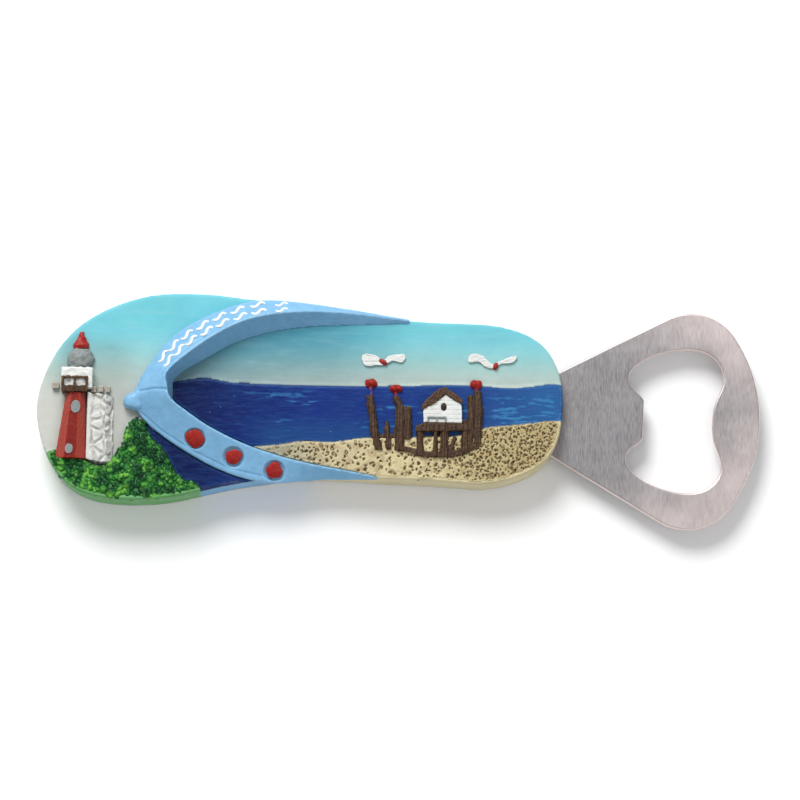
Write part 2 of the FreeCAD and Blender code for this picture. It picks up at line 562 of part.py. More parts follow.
def build():
    nodes = {}
    blank = sole_blank()
    blade = opener_blade()
    magnets = magnet_discs()
    nodes["sole"] = sole(blank, blade, magnets)
    nodes["opener_blade"] = blade
    nodes["magnet_discs"] = magnets

    rails, along = strap_rails(UPPER_ARM[::-1] + [SADDLE_MIDDLE] + LOWER_ARM)
    upper_end, lower_start = along[len(UPPER_ARM) - 1], along[len(UPPER_ARM) + 1]
    upper_arm = strap_piece(rails, along[0], upper_end, blank)
    saddle = strap_piece(rails, upper_end, lower_start, blank)
    lower_arm = strap_piece(rails, lower_start, along[-1], blank)
    post = without(toe_post(), saddle, upper_arm, lower_arm)
    dots = strap_dots()
    marks = strap_wave_marks()
    strap = [upper_arm, lower_arm, saddle, post] + dots
    nodes["strap_upper_arm"] = without(upper_arm, *marks)
    nodes["strap_lower_arm"] = without(lower_arm, *dots)
    nodes["strap_saddle"] = saddle
    nodes["toe_post"] = post
    nodes["strap_dots"] = dots
    nodes["strap_wave_marks"] = marks

    tower = lighthouse_tower()
    railing = gallery_railing()
    annex = without(keepers_annex(), tower)
    dune = region_below(DUNE_EDGE, DUNE_RISE, [(-17.8, -TRIM), (-TRIM * 2, -TRIM), (-TRIM * 2, -9.4)])
    dune = without(dune.common(blank.translated(Vector(0, 0, FACE / 2))), tower, annex, *strap)
    lantern = without(block(LANTERN_X, LANTERN_Y, (FACE, FACE + LANTERN_RISE)), railing)
    nodes["dune_panel"] = dune
    nodes["lighthouse_tower"] = without(tower, railing)
    nodes["tower_window"] = tower_plate(-41.6, -2.6, 0.9, 1.2)
    nodes["tower_door"] = tower_plate(-42.6, -10.5, 0.75, 0.95)
    nodes["lantern_room"] = lantern
    nodes["gallery_railing"] = railing
    nodes["lighthouse_dome"] = without(half_turned(DOME_PROFILE, LANTERN_AXIS_X), lantern)
    nodes["lighthouse_finial"] = half_turned(FINIAL_PROFILE, LANTERN_AXIS_X)
    nodes["keepers_annex"] = without(annex, railing)
    nodes["annex_battlements"] = [without(merlon, annex, lantern, railing)
                                  for merlon in annex_battlements()]

    cover = blank.translated(Vector(0, 0, FACE / 2))
    beach = region_below(SHORE, BEACH_RISE, [(51.5, -TRIM), (BEACH_START, -TRIM), (BEACH_START, -13.5)])
    crest = [station.crest for station in LOWER_ARM]
    beyond = [(station.outer[0], -TRIM) for station in reversed(LOWER_ARM)]
    beach = without(beach.common(cover), *strap, slab(crest + beyond, BEACH_RISE))
    sea = region_below(HORIZON, SEA_RISE, [(51.5, -TRIM), (-27.0, -TRIM)]).common(cover)
    sea = without(sea, beach, dune, *strap)
    inner = [solid for solid in big_solids(sea, 1.0) if solid.CenterOfMass.x > 0]
    inlet = slab([(-30.4, -4.0), (-22.0, -9.0), (5.0, -13.0), (5.0, -TRIM), (-30.4, -TRIM)], SEA_RISE)
    inlet = without(inlet.common(cover), beach, dune, *strap)
    nodes["sea_panel"] = inner
    nodes["inlet_panel"] = big_solids(inlet, 1.0)
    nodes["beach_panel"] = big_solids(beach, 1.0)
    ground = nodes["sea_panel"] + nodes["beach_panel"]

    for name, outline in (("gull_left", GULL_LEFT), ("gull_right", GULL_RIGHT)):
        nodes[name] = slab(outline, GULL_RISE, smooth=True)
    bodies = [lens(x, y, length, width, 0.9, turn) for x, y, length, width, turn in GULL_BODIES]
    nodes["gull_left"] = without(nodes["gull_left"], bodies[0])
    nodes["gull_right"] = without(nodes["gull_right"], bodies[1])
    nodes["gull_bodies"] = bodies

    piles = {"pile_left": PILE_LEFT, "pile_middle": PILE_MIDDLE, "pile_right": PILE_RIGHT}
    caps = [pile_cap(*cap) for cap in PILE_CAPS]
    walls = without(slab(HUT_WALL, HUT_WALL_RISE), *ground)
    roofing = without(roof(), *ground)
    deck = without(slab(HUT_DECK, DECK_RISE), *ground)
    stilts = without(hut_stilts(deck), *ground)
    for name, trunks in piles.items():
        shape = as_one([bevelled_loft(stations, PILE_RISE) for stations in trunks])
        shape = without(shape, deck, stilts, *ground)
        nodes[name] = without(shape, nodes["pile_left"]) if name == "pile_middle" else shape
    nodes["pile_caps"] = [without(cap, *nodes_solids(nodes, piles), *ground) for cap in caps]
    nodes["hut_roof"] = roofing
    nodes["hut_walls"] = without(walls, roofing, deck)
    x, y, half_width, half_height = HUT_WINDOW
    window = lens(x, y, half_width, half_height, 0.3, 0, base=FACE + HUT_WALL_RISE)
    nodes["hut_window"] = window
    nodes["hut_railing"] = without(hut_railing(), deck)
    nodes["hut_deck"] = deck
    nodes["hut_stilts"] = stilts
    return nodes


def nodes_solids(nodes, names):
    """Every solid of the named nodes in one list."""
    return [solid for name in names for solid in nodes[name].Solids]


def as_compound(shape):
    """One shape to write: a list of solids becomes a compound, small slivers are dropped."""
    shapes = shape if isinstance(shape, list) else [shape]
    solids = [solid for item in shapes for solid in big_solids(item)]
    return solids[0] if len(solids) == 1 else Part.makeCompound(solids)


def main():
    os.makedirs("parts", exist_ok=True)
    for name, shape in build().items():
        as_compound(shape).exportStep(f"parts/{name}.step")


main()
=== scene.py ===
import math

import bmesh
import bpy
import numpy as np
from mathutils import Matrix, Vector, noise
from mathutils.bvhtree import BVHTree
from mathutils.kdtree import KDTree


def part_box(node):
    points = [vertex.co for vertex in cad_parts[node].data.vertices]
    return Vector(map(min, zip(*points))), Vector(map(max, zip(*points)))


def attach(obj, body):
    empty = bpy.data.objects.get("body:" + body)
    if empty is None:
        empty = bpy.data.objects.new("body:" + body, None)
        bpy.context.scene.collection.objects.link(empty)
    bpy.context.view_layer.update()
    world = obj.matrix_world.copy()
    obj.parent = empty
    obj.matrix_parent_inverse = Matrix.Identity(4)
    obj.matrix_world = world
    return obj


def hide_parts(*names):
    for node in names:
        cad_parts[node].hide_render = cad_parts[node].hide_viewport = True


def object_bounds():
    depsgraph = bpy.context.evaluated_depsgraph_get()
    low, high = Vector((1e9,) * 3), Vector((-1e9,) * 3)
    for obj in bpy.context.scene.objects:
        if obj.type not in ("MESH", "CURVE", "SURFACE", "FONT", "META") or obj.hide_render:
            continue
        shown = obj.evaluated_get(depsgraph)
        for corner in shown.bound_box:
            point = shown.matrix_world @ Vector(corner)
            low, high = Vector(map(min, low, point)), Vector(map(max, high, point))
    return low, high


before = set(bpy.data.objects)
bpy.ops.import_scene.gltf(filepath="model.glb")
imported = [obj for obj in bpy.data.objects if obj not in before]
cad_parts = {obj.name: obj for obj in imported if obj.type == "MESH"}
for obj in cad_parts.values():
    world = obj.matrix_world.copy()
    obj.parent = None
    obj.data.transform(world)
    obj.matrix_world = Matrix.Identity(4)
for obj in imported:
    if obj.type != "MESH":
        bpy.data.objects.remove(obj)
cad_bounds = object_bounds()

# Souvenir bottle opener: a painted resin flip-flop with a beach scene in relief and a steel opener
# blade. Shapes are worked out in millimetres in the CAD frame, and made metres as each is finished:
# +X runs to the opener, +Y to the sky side of the scene, +Z out of the painted face.

MM = 0.001
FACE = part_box("sole")[1].z / MM             # height of the bare painted face
PLATE_FLOOR = FACE - 0.8                    # underside of every relief plate, inside the body
ABOVE = 30.0                                # start of a ray that looks down on the relief
DOWN = Vector((0, 0, -1))
CRUMB = 60                                  # a loose bit with fewer points than this is cleaned off
PAINT_STRENGTH = 0.82                       # paints are mixed this dark, as the studio lights are bright


# ---- points, noise and profiles -------------------------------------------------------------------

def smooth_step(low, high, value):
    """0 below low, 1 above high, and an even S between."""
    share = np.clip((value - low) / (high - low), 0.0, 1.0)
    return share * share * (3 - 2 * share)


def lumps(points, size, octaves=2, seed=0):
    """Seeded noise at each point, about -1 to 1, with features of this size or of (x, y, z) sizes."""
    shift = np.array([17.3, 5.1, 9.7]) * seed
    places = np.asarray(points) / np.asarray(size) + shift
    return np.array([noise.fractal(Vector(p), 1.0, 2.0, octaves) for p in places])


def cell_gaps(points, size, seed=0):
    """Distance of each point from the nearest edge of a seeded cell pattern, as a share of size."""
    shift = np.array([3.1, 8.9, 2.3]) * seed
    gaps = []
    for p in np.asarray(points) / size + shift:
        near = noise.voronoi(Vector(p))[0]
        gaps.append(near[1] - near[0])
    return np.array(gaps)


def nearest(points, targets):
    """Distance of each point from the nearest target, and which target that is."""
    tree = KDTree(len(targets))
    for i, target in enumerate(targets):
        tree.insert(target, i)
    tree.balance()
    found = [tree.find(p) for p in points]
    return np.array([f[2] for f in found]), np.array([f[1] for f in found])


def in_plan(points):
    """The points with their height left out."""
    flat = np.array(points, float)
    flat[:, 2] = 0
    return flat


def middle_of(points):
    """Middle of the box that holds the points."""
    return (points.min(axis=0) + points.max(axis=0)) / 2


def along_path(path, spacing):
    """Points every so often along a line through the path's corners, in plan."""
    made = []
    for (x0, y0), (x1, y1) in zip(path, path[1:]):
        steps = max(2, round(math.hypot(x1 - x0, y1 - y0) / spacing))
        made += [(x0 + (x1 - x0) * i / steps, y0 + (y1 - y0) * i / steps, 0) for i in range(steps + 1)]
    return np.array(made)


def blended(stops, values):
    """Colour at each value, between stops of (value, colour)."""
    places = [place for place, _ in stops]
    return np.stack([np.interp(values, places, [c[i] for _, c in stops]) for i in range(3)], axis=1)


def over(colours, cover, share):
    """The colours with another paint laid over them, by each point's own share."""
    return colours + (np.asarray(cover) - colours) * np.asarray(share)[:, None]


def linear(red, green, blue):
    """0 to 255 screen values as linear light."""
    return tuple(((v / 255 + 0.055) / 1.055) ** 2.4 if v > 10 else v / 255 / 12.92
                 for v in (red, green, blue))


def paint(red, green, blue):
    """A mixed paint that looks like these screen values under the bright studio lights."""
    return tuple(v * PAINT_STRENGTH for v in linear(red, green, blue))


def solid(colour):
    return (*colour, 1.0)


# ---- meshes ---------------------------------------------------------------------------------------

def new_object(name, data):
    """An object that shows this mesh, light or camera in the scene."""
    thing = bpy.data.objects.new(name, data)
    bpy.context.scene.collection.objects.link(thing)
    return thing


def read(mesh, what="co"):
    values = np.empty(len(mesh.vertices) * 3)
    mesh.vertices.foreach_get(what, values)
    return values.reshape(-1, 3)


def write(mesh, points):
    mesh.vertices.foreach_set("co", points.ravel())
    mesh.update()


def push(mesh, amounts):
    """Moves every point along its normal by its own amount."""
    write(mesh, read(mesh) + read(mesh, "normal") * np.asarray(amounts)[:, None])


def store(mesh, name, values):
    """Keeps one value, or one colour, for each point of the mesh."""
    kind, what = ("FLOAT", "value")
    if np.ndim(values) == 2:
        kind, what = ("FLOAT_COLOR", "color")
        values = np.hstack([values, np.ones((len(values), 1))])
    mesh.attributes.new(name, kind, "POINT").data.foreach_set(what, np.ascontiguousarray(values).ravel())


def merged_copy(*nodes):
    """The CAD nodes' shapes as one joined-up mesh in millimetres."""
    made = bmesh.new()
    for node in nodes:
        made.from_mesh(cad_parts[node].data)
    bmesh.ops.scale(made, vec=(1 / MM,) * 3, verts=made.verts)
    bmesh.ops.remove_doubles(made, verts=made.verts, dist=0.001)
    mesh = bpy.data.meshes.new(nodes[0])
    made.to_mesh(mesh)
    made.free()
    return mesh


def groups_of(made):
    """The vertices of each separate part of a bmesh."""
    waiting, groups = set(made.verts), []
    while waiting:
        reach = [waiting.pop()]
        group = []
        while reach:
            vert = reach.pop()
            group.append(vert)
            for edge in vert.link_edges:
                other = edge.other_vert(vert)
                if other in waiting:
                    waiting.remove(other)
                    reach.append(other)
        groups.append(group)
    return groups


def loose_parts(mesh):
    """The points of each separate part of a mesh."""
    made = bmesh.new()
    made.from_mesh(mesh)
    parts = [np.array([vert.co[:] for vert in group]) for group in groups_of(made)]
    made.free()
    return parts


def without_crumbs(mesh):
    """The mesh less the loose bits that are too small to be shapes of their own."""
    made = bmesh.new()
    made.from_mesh(mesh)
    crumbs = [vert for group in groups_of(made) if len(group) < CRUMB for vert in group]
    bmesh.ops.delete(made, geom=crumbs, context="VERTS")
    made.to_mesh(mesh)
    made.free()
    return mesh


def from_modifiers(mesh, add):
    """The mesh as it comes out of the modifiers that add() puts on it."""
    thing = new_object("work", mesh)
    add(thing)
    graph = bpy.context.evaluated_depsgraph_get()
    made = bpy.data.meshes.new_from_object(
        thing.evaluated_get(graph), preserve_all_data_layers=True, depsgraph=graph)
    bpy.data.objects.remove(thing)
    return made


def cast(mesh, grain, softening):
    """The mesh poured again as one even skin: grain is its cell, softening how often it is relaxed."""
    def add(thing):
        remesh = thing.modifiers.new("pour", "REMESH")
        remesh.mode = "VOXEL"
        remesh.voxel_size = grain
        relax = thing.modifiers.new("soften", "SMOOTH")
        relax.factor = 0.5
        relax.iterations = softening
    return without_crumbs(from_modifiers(mesh, add))


def relaxed(mesh, times, share=1.0):
    """The mesh's points drawn this many times towards their neighbours, each by its own share."""
    points = read(mesh)
    edges = np.empty(len(mesh.edges) * 2, int)
    mesh.edges.foreach_get("vertices", edges)
    a, b = edges.reshape(-1, 2).T
    size = len(points)
    count = np.maximum(np.bincount(edges, minlength=size), 1)[:, None]
    half = (0.5 * np.ones(size) * share)[:, None]
    for _ in range(times):
        total = np.stack([np.bincount(a, points[b, i], size) + np.bincount(b, points[a, i], size)
                          for i in range(3)], axis=1)
        points = points + (total / count - points) * half
    return points


def mark_relief(mesh, reach, depth):
    """Stores how far each point stands out as a ridge or lies in a hollow, each from 0 to 1."""
    out = ((read(mesh) - relaxed(mesh, reach)) * read(mesh, "normal")).sum(axis=1) / depth
    store(mesh, "ridge", np.clip(out, 0, 1))
    store(mesh, "hollow", np.clip(-out, 0, 1))


def finished(name, mesh, material, replaces=()):
    """Turns a mesh in millimetres into a piece of the object."""
    mesh.transform(Matrix.Scale(MM, 4))
    mesh.materials.clear()
    mesh.materials.append(material)
    mesh.polygons.foreach_set("material_index", [0] * len(mesh.polygons))
    mesh.polygons.foreach_set("use_smooth", [True] * len(mesh.polygons))
    mesh.update()
    piece = new_object(name, mesh)
    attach(piece, "root")
    if replaces:
        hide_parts(*replaces)
    return piece


# ---- the relief seen from above -------------------------------------------------------------------

def surface_of(mesh):
    """The mesh's faces, kept so that rays and nearest points are found on them."""
    return BVHTree.FromPolygons([v.co for v in mesh.vertices], [p.vertices for p in mesh.polygons])


def seen_from_above(mesh, x, y):
    """Height of the mesh's top at each plan point, or nan beside it."""
    tree = surface_of(mesh)
    tops = np.full(x.shape, np.nan)
    for place in np.ndindex(x.shape):
        hit = tree.ray_cast(Vector((x[place], y[place], ABOVE)), DOWN)[0]
        if hit is not None:
            tops[place] = hit.z
    return tops


def plan_grid(mesh, step):
    """Plan points on a square grid over the mesh and a little round it."""
    points = read(mesh)
    low, high = points.min(axis=0) - 2 * step, points.max(axis=0) + 2 * step
    return np.meshgrid(np.arange(low[0], high[0], step), np.arange(low[1], high[1], step))


def rim_of(inside, x, y):
    """The grid points that are inside and have a neighbour outside."""
    core = inside.copy()
    core[1:-1, 1:-1] = (inside[1:-1, 1:-1] & inside[:-2, 1:-1] & inside[2:, 1:-1]
                        & inside[1:-1, :-2] & inside[1:-1, 2:])
    rim = inside & ~core
    return np.stack([x[rim], y[rim], np.zeros(rim.sum())], axis=1)


def plate(x, y, tops):
    """A closed plate under the given heights, over the grid cells whose four corners have one.

    Cells that hang on by a corner or by one side are left out.
    """
    inside = ~np.isnan(tops)
    cell = inside[:-1, :-1] & inside[1:, :-1] & inside[:-1, 1:] & inside[1:, 1:]
    cell &= sum(np.roll(cell, step, axis) for step in (-1, 1) for axis in (0, 1)) >= 2
    used = np.zeros_like(inside)
    for rows in (slice(None, -1), slice(1, None)):
        for columns in (slice(None, -1), slice(1, None)):
            used[rows, columns] |= cell
    count = int(used.sum())
    index = np.full(inside.shape, -1)
    index[used] = np.arange(count)
    upper_points = np.stack([x[used], y[used], tops[used]], axis=1)
    lower_points = upper_points.copy()
    lower_points[:, 2] = PLATE_FLOOR
    j, i = np.nonzero(cell)
    upper = np.stack([index[j, i], index[j, i + 1], index[j + 1, i + 1], index[j + 1, i]], axis=1)
    start = upper.ravel()
    end = np.roll(upper, -1, axis=1).ravel()
    border = ~np.isin(start * count + end, end * count + start)
    p, q = start[border], end[border]
    walls = np.stack([q, p, p + count, q + count], axis=1)
    faces = np.vstack([upper, upper[:, ::-1] + count, walls])
    mesh = bpy.data.meshes.new("plate")
    mesh.from_pydata(np.vstack([upper_points, lower_points]).tolist(), [], faces.tolist())
    mesh.update()
    return mesh


# ---- paint, shared shader groups ------------------------------------------------------------------

class Wiring:
    """Adds nodes to one tree, and fills each input with a plain value or with another node's output."""

    def __init__(self, tree):
        self.tree = tree

    def fill(self, socket, value):
        if isinstance(value, bpy.types.NodeSocket):
            self.tree.links.new(value, socket)
        elif value is not None:
            socket.default_value = value

    def add(self, kind, inputs=(), **settings):
        node = self.tree.nodes.new(kind)
        for name, value in settings.items():
            setattr(node, name, value)
        for key, value in dict(inputs).items():
            self.fill(node.inputs[key], value)
        return node

    def math(self, operation, first, second=None, clamp=False):
        node = self.add("ShaderNodeMath", {0: first, 1: second}, operation=operation, use_clamp=clamp)
        return node.outputs[0]

    def ranged(self, value, low, high, to_low=0.0, to_high=1.0):
        inputs = {0: value, 1: low, 2: high, 3: to_low, 4: to_high}
        return self.add("ShaderNodeMapRange", inputs).outputs[0]

    def mixed(self, share, first, second, blend_type="MIX"):
        node = self.add("ShaderNodeMix", data_type="RGBA", blend_type=blend_type)
        for place, value in ((0, share), (6, first), (7, second)):
            self.fill(node.inputs[place], value)
        return node.outputs[2]

    def noise(self, vector, scale, detail=2.0, distortion=0.0):
        inputs = {"Vector": vector, "Scale": scale, "Detail": detail, "Distortion": distortion}
        return self.add("ShaderNodeTexNoise", inputs).outputs[0]

    def stretched(self, stretch):
        """Object coordinates scaled by (x, y, z)."""
        place = self.add("ShaderNodeTexCoord").outputs["Object"]
        return self.add("ShaderNodeMapping", {"Vector": place, "Scale": stretch}).outputs[0]


SOCKETS = {float: "NodeSocketFloat", tuple: "NodeSocketColor", Vector: "NodeSocketVector"}


def effect(name, inputs, outputs, build):
    """A shader node group. Inputs and outputs are {name: usual value}, and build() wires them."""
    group = bpy.data.node_groups.new(name, "ShaderNodeTree")
    for side, sockets in (("INPUT", inputs), ("OUTPUT", outputs)):
        for title, value in sockets.items():
            socket = group.interface.new_socket(title, in_out=side, socket_type=SOCKETS[type(value)])
            socket.default_value = value
    wiring = Wiring(group)
    given = wiring.add("NodeGroupInput").outputs
    wiring.add("NodeGroupOutput", build(wiring, given))
    return group


WHITE = (1.0, 1.0, 1.0, 1.0)


def build_brush_streaks(w, given):
    """Long soft streaks of a second paint, where the brush ran thin."""
    place = w.stretched(given["Stretch"])
    broad = w.noise(place, 1.0, 4.0, 0.6)
    fine = w.noise(place, 3.7, 3.0, 0.3)
    height = w.math("ADD", w.math("MULTIPLY", broad, 0.65), w.math("MULTIPLY", fine, 0.35))
    mask = w.math("MULTIPLY", w.ranged(height, 0.47, 0.66), given["Amount"], clamp=True)
    return {"Colour": w.mixed(mask, given["Colour"], given["Streak Colour"]), "Height": height}


def build_specks(w, given):
    """Small scattered flecks of another paint, or grit in it."""
    place = w.stretched(given["Stretch"])
    cells = w.add("ShaderNodeTexVoronoi", {"Vector": place, "Scale": 1.0, "Randomness": 1.0})
    few = w.noise(place, 0.31, 1.0)
    size = w.math("MULTIPLY", given["Size"], w.ranged(few, 0.5, 0.75))
    mask = w.math("LESS_THAN", cells.outputs["Distance"], size)
    return {"Colour": w.mixed(mask, given["Colour"], given["Speck Colour"]), "Mask": mask}


def build_wash_shade_and_highlight(w, given):
    """Darker in the hollows, partly a dark paint run in and partly painted shade, and lighter on the
    ridges, partly a dry brush and partly a painted highlight.
    """
    place = w.stretched(given["Stretch"])
    patchy = w.ranged(w.noise(place, 1.0, 3.0), 0.3, 0.62, 0.35, 1.0)
    hollow = w.add("ShaderNodeAttribute", attribute_name="hollow").outputs["Fac"]
    ridge = w.add("ShaderNodeAttribute", attribute_name="ridge").outputs["Fac"]
    wash_and_shade = w.math("MULTIPLY", w.math("MULTIPLY", hollow, patchy), given["Wash and Shade"], clamp=True)
    wear_and_highlight = w.math("MULTIPLY", w.math("MULTIPLY", ridge, patchy), given["Wear and Highlight"], clamp=True)
    washed_and_shaded = w.mixed(wash_and_shade, given["Colour"], given["Wash Colour"])
    return {"Colour": w.mixed(wear_and_highlight, washed_and_shaded, given["Wear Colour"]), "Wash Mask": wash_and_shade}


def build_paint_surface(w, given):
    """Uneven gloss and a fine orange-peel height for hand-laid paint."""
    place = w.stretched(given["Stretch"])
    peel = w.noise(place, 1.0, 3.0)
    fine = w.noise(place, 4.3, 2.0)
    height = w.math("ADD", w.math("MULTIPLY", peel, 0.7), w.math("MULTIPLY", fine, 0.3))
    patches = w.noise(place, 0.23, 2.0)
    return {"Height": height, "Roughness": w.ranged(patches, 0.3, 0.7, given["Glossy"], given["Matt"])}


PER_MM = 1 / MM
EVEN = Vector((PER_MM, PER_MM, PER_MM))

brush_streaks = effect(
    "brush streaks",
    {"Colour": WHITE, "Streak Colour": WHITE, "Amount": 0.5, "Stretch": EVEN},
    {"Colour": WHITE, "Height": 0.0}, build_brush_streaks)
specks = effect(
    "specks", {"Colour": WHITE, "Speck Colour": WHITE, "Size": 0.1, "Stretch": EVEN},
    {"Colour": WHITE, "Mask": 0.0}, build_specks)
wash_shade_and_highlight = effect(
    "washes, shading and highlights",
    {"Colour": WHITE, "Wash Colour": WHITE, "Wear Colour": WHITE, "Wash and Shade": 1.0, "Wear and Highlight": 1.0,
     "Stretch": EVEN},
    {"Colour": WHITE, "Wash Mask": 0.0}, build_wash_shade_and_highlight)
paint_surface = effect(
    "paint surface", {"Glossy": 0.35, "Matt": 0.55, "Stretch": EVEN},
    {"Height": 0.0, "Roughness": 0.5}, build_paint_surface)


def new_material(name):
    """A material, the wiring of its nodes, and its shader."""
    material = bpy.data.materials.new(name)
    material.use_nodes = True
    return material, Wiring(material.node_tree), material.node_tree.nodes["Principled BSDF"]


def placed_group(w, group, inputs):
    """The outputs of a shader group that is given these inputs."""
    node = w.add("ShaderNodeGroup", node_tree=group)
    for key, value in inputs.items():
        w.fill(node.inputs[key], value)
    return node.outputs


def per_mm(x, y, z):
    """Pattern scale for features of these sizes in millimetres."""
    return Vector((PER_MM / x, PER_MM / y, PER_MM / z))


def coat(name, colour=None, streak=None, speck=None, wash_and_shade=None, wear_and_highlight=None, peel=(0.6, 0.02),
         gloss=(0.35, 0.55), shine=0.15, lacquer=0.03):
    """Hand-painted resin. No colour means the paint stored on the piece's own points.

    streak is (colour, amount, sizes), speck is (colour, size, spacing), wash_and_shade and
    wear_and_highlight are (colour, amount): the first darkens the hollows, partly a dark paint run in
    and partly painted shade, and the second lightens the ridges, partly a dry brush and partly a
    painted highlight. peel is (size, height) and gloss the range of roughness. shine is how strongly
    the paint reflects, and lacquer how much of a clear coat lies over it.
    """
    material, w, shader = new_material(name)
    shade = w.add("ShaderNodeAttribute", attribute_name="paint").outputs["Color"]
    if colour is not None:
        tint = w.noise(w.stretched(per_mm(1.7, 1.7, 1.7)), 1.0, 3.0)
        darker = solid(c * 0.92 for c in colour)
        shade = w.mixed(w.ranged(tint, 0.35, 0.65), darker, solid(colour))
    height = None
    if streak:
        made = placed_group(w, brush_streaks, {
            "Colour": shade, "Streak Colour": solid(streak[0]), "Amount": streak[1],
            "Stretch": per_mm(*streak[2])})
        shade, height = made["Colour"], made["Height"]
    if speck:
        spacing = speck[2]
        shade = placed_group(w, specks, {
            "Colour": shade, "Speck Colour": solid(speck[0]), "Size": speck[1] / spacing,
            "Stretch": per_mm(spacing, spacing, spacing)})["Colour"]
    # Hollows darkened, partly by a dark paint and partly by painted shade; ridges lightened, partly by a
    # dry brush and partly by a painted highlight.
    if wash_and_shade or wear_and_highlight:
        wash_and_shade, wear_and_highlight = wash_and_shade or ((0, 0, 0), 0.0), wear_and_highlight or ((1, 1, 1), 0.0)
        shade = placed_group(w, wash_shade_and_highlight, {
            "Colour": shade, "Wash Colour": solid(wash_and_shade[0]), "Wash and Shade": wash_and_shade[1],
            "Wear Colour": solid(wear_and_highlight[0]), "Wear and Highlight": wear_and_highlight[1], "Stretch": per_mm(0.5, 0.5, 0.5)})["Colour"]
    size, rise = peel
    surface = placed_group(w, paint_surface, {
        "Glossy": gloss[0], "Matt": gloss[1], "Stretch": per_mm(size, size, size)})
    height = w.math("ADD", surface["Height"], height) if height else surface["Height"]
    bump = w.add("ShaderNodeBump", {"Height": height, "Strength": 1.0, "Distance": rise * MM})
    w.fill(shader.inputs["Base Color"], shade)
    w.fill(shader.inputs["Roughness"], surface["Roughness"])
    w.fill(shader.inputs["Normal"], bump.outputs["Normal"])
    shader.inputs["Specular IOR Level"].default_value = shine
    shader.inputs["Coat Weight"].default_value = lacquer
    shader.inputs["Coat Roughness"].default_value = 0.3
    return material


def brushed_metal(name, colour, dark, stroke, gloss, bright=None, edge=None):
    """Sheet metal with fine strokes across it, scratches, and a brighter tone towards its head, a painted
    sheen.

    bright is (colour, (first, last)), a painted sheen that brightens the metal between these reaches
    of its head in millimetres, and edge is the colour of a painted highlight where the sheet's edges
    are rounded over.
    """
    material, w, shader = new_material(name)
    strokes = w.noise(w.stretched(per_mm(*stroke)), 1.0, 4.0)
    patches = w.noise(w.stretched(per_mm(7, 7, 7)), 1.0, 3.0)
    scratch = w.noise(w.stretched(per_mm(0.1, 2.6, 2.6)), 1.0, 1.0, 0.4)
    scratched = w.ranged(scratch, 0.66, 0.72)
    shade = w.mixed(w.ranged(strokes, 0.25, 0.75), solid(dark), solid(colour))
    # A painted sheen brightens the metal towards its head.
    if bright:
        first, last = (x * MM for x in bright[1])
        place = w.add("ShaderNodeSeparateXYZ", {0: w.add("ShaderNodeTexCoord").outputs["Object"]})
        sideways = w.math("ABSOLUTE", place.outputs[1])
        reach = w.math("ADD", w.math("MULTIPLY", place.outputs[0], 0.8), sideways)
        wavy = w.math("ADD", reach, w.ranged(patches, 0.0, 1.0, -6 * MM, 6 * MM))
        shade = w.mixed(w.ranged(wavy, first, last), shade, solid(bright[0]), "SCREEN")
    shade = w.mixed(w.math("MULTIPLY", scratched, 0.35), shade, solid(c * 1.3 for c in colour))
    # A painted highlight on the rounded edges.
    if edge:
        facing = w.add("ShaderNodeSeparateXYZ", {0: w.add("ShaderNodeNewGeometry").outputs["Normal"]})
        rounded = w.ranged(w.math("ABSOLUTE", facing.outputs[2]), 0.97, 0.6)
        shade = w.mixed(w.math("MULTIPLY", rounded, 0.8), shade, solid(edge))
    rough = w.math("ADD", w.ranged(strokes, 0.25, 0.75, *gloss), w.ranged(patches, 0.3, 0.7, 0, 0.08))
    depth = w.math("SUBTRACT", strokes, w.math("MULTIPLY", scratched, 0.5))
    bump = w.add("ShaderNodeBump", {"Height": depth, "Strength": 1.0, "Distance": 0.007 * MM})
    w.fill(shader.inputs["Base Color"], shade)
    w.fill(shader.inputs["Roughness"], rough)
    w.fill(shader.inputs["Normal"], bump.outputs["Normal"])
    shader.inputs["Metallic"].default_value = 1.0
    return material


RED = paint(164, 34, 30)
BROWN = paint(72, 54, 44)
GOLD = paint(140, 104, 62)
SOOT = paint(28, 20, 18)
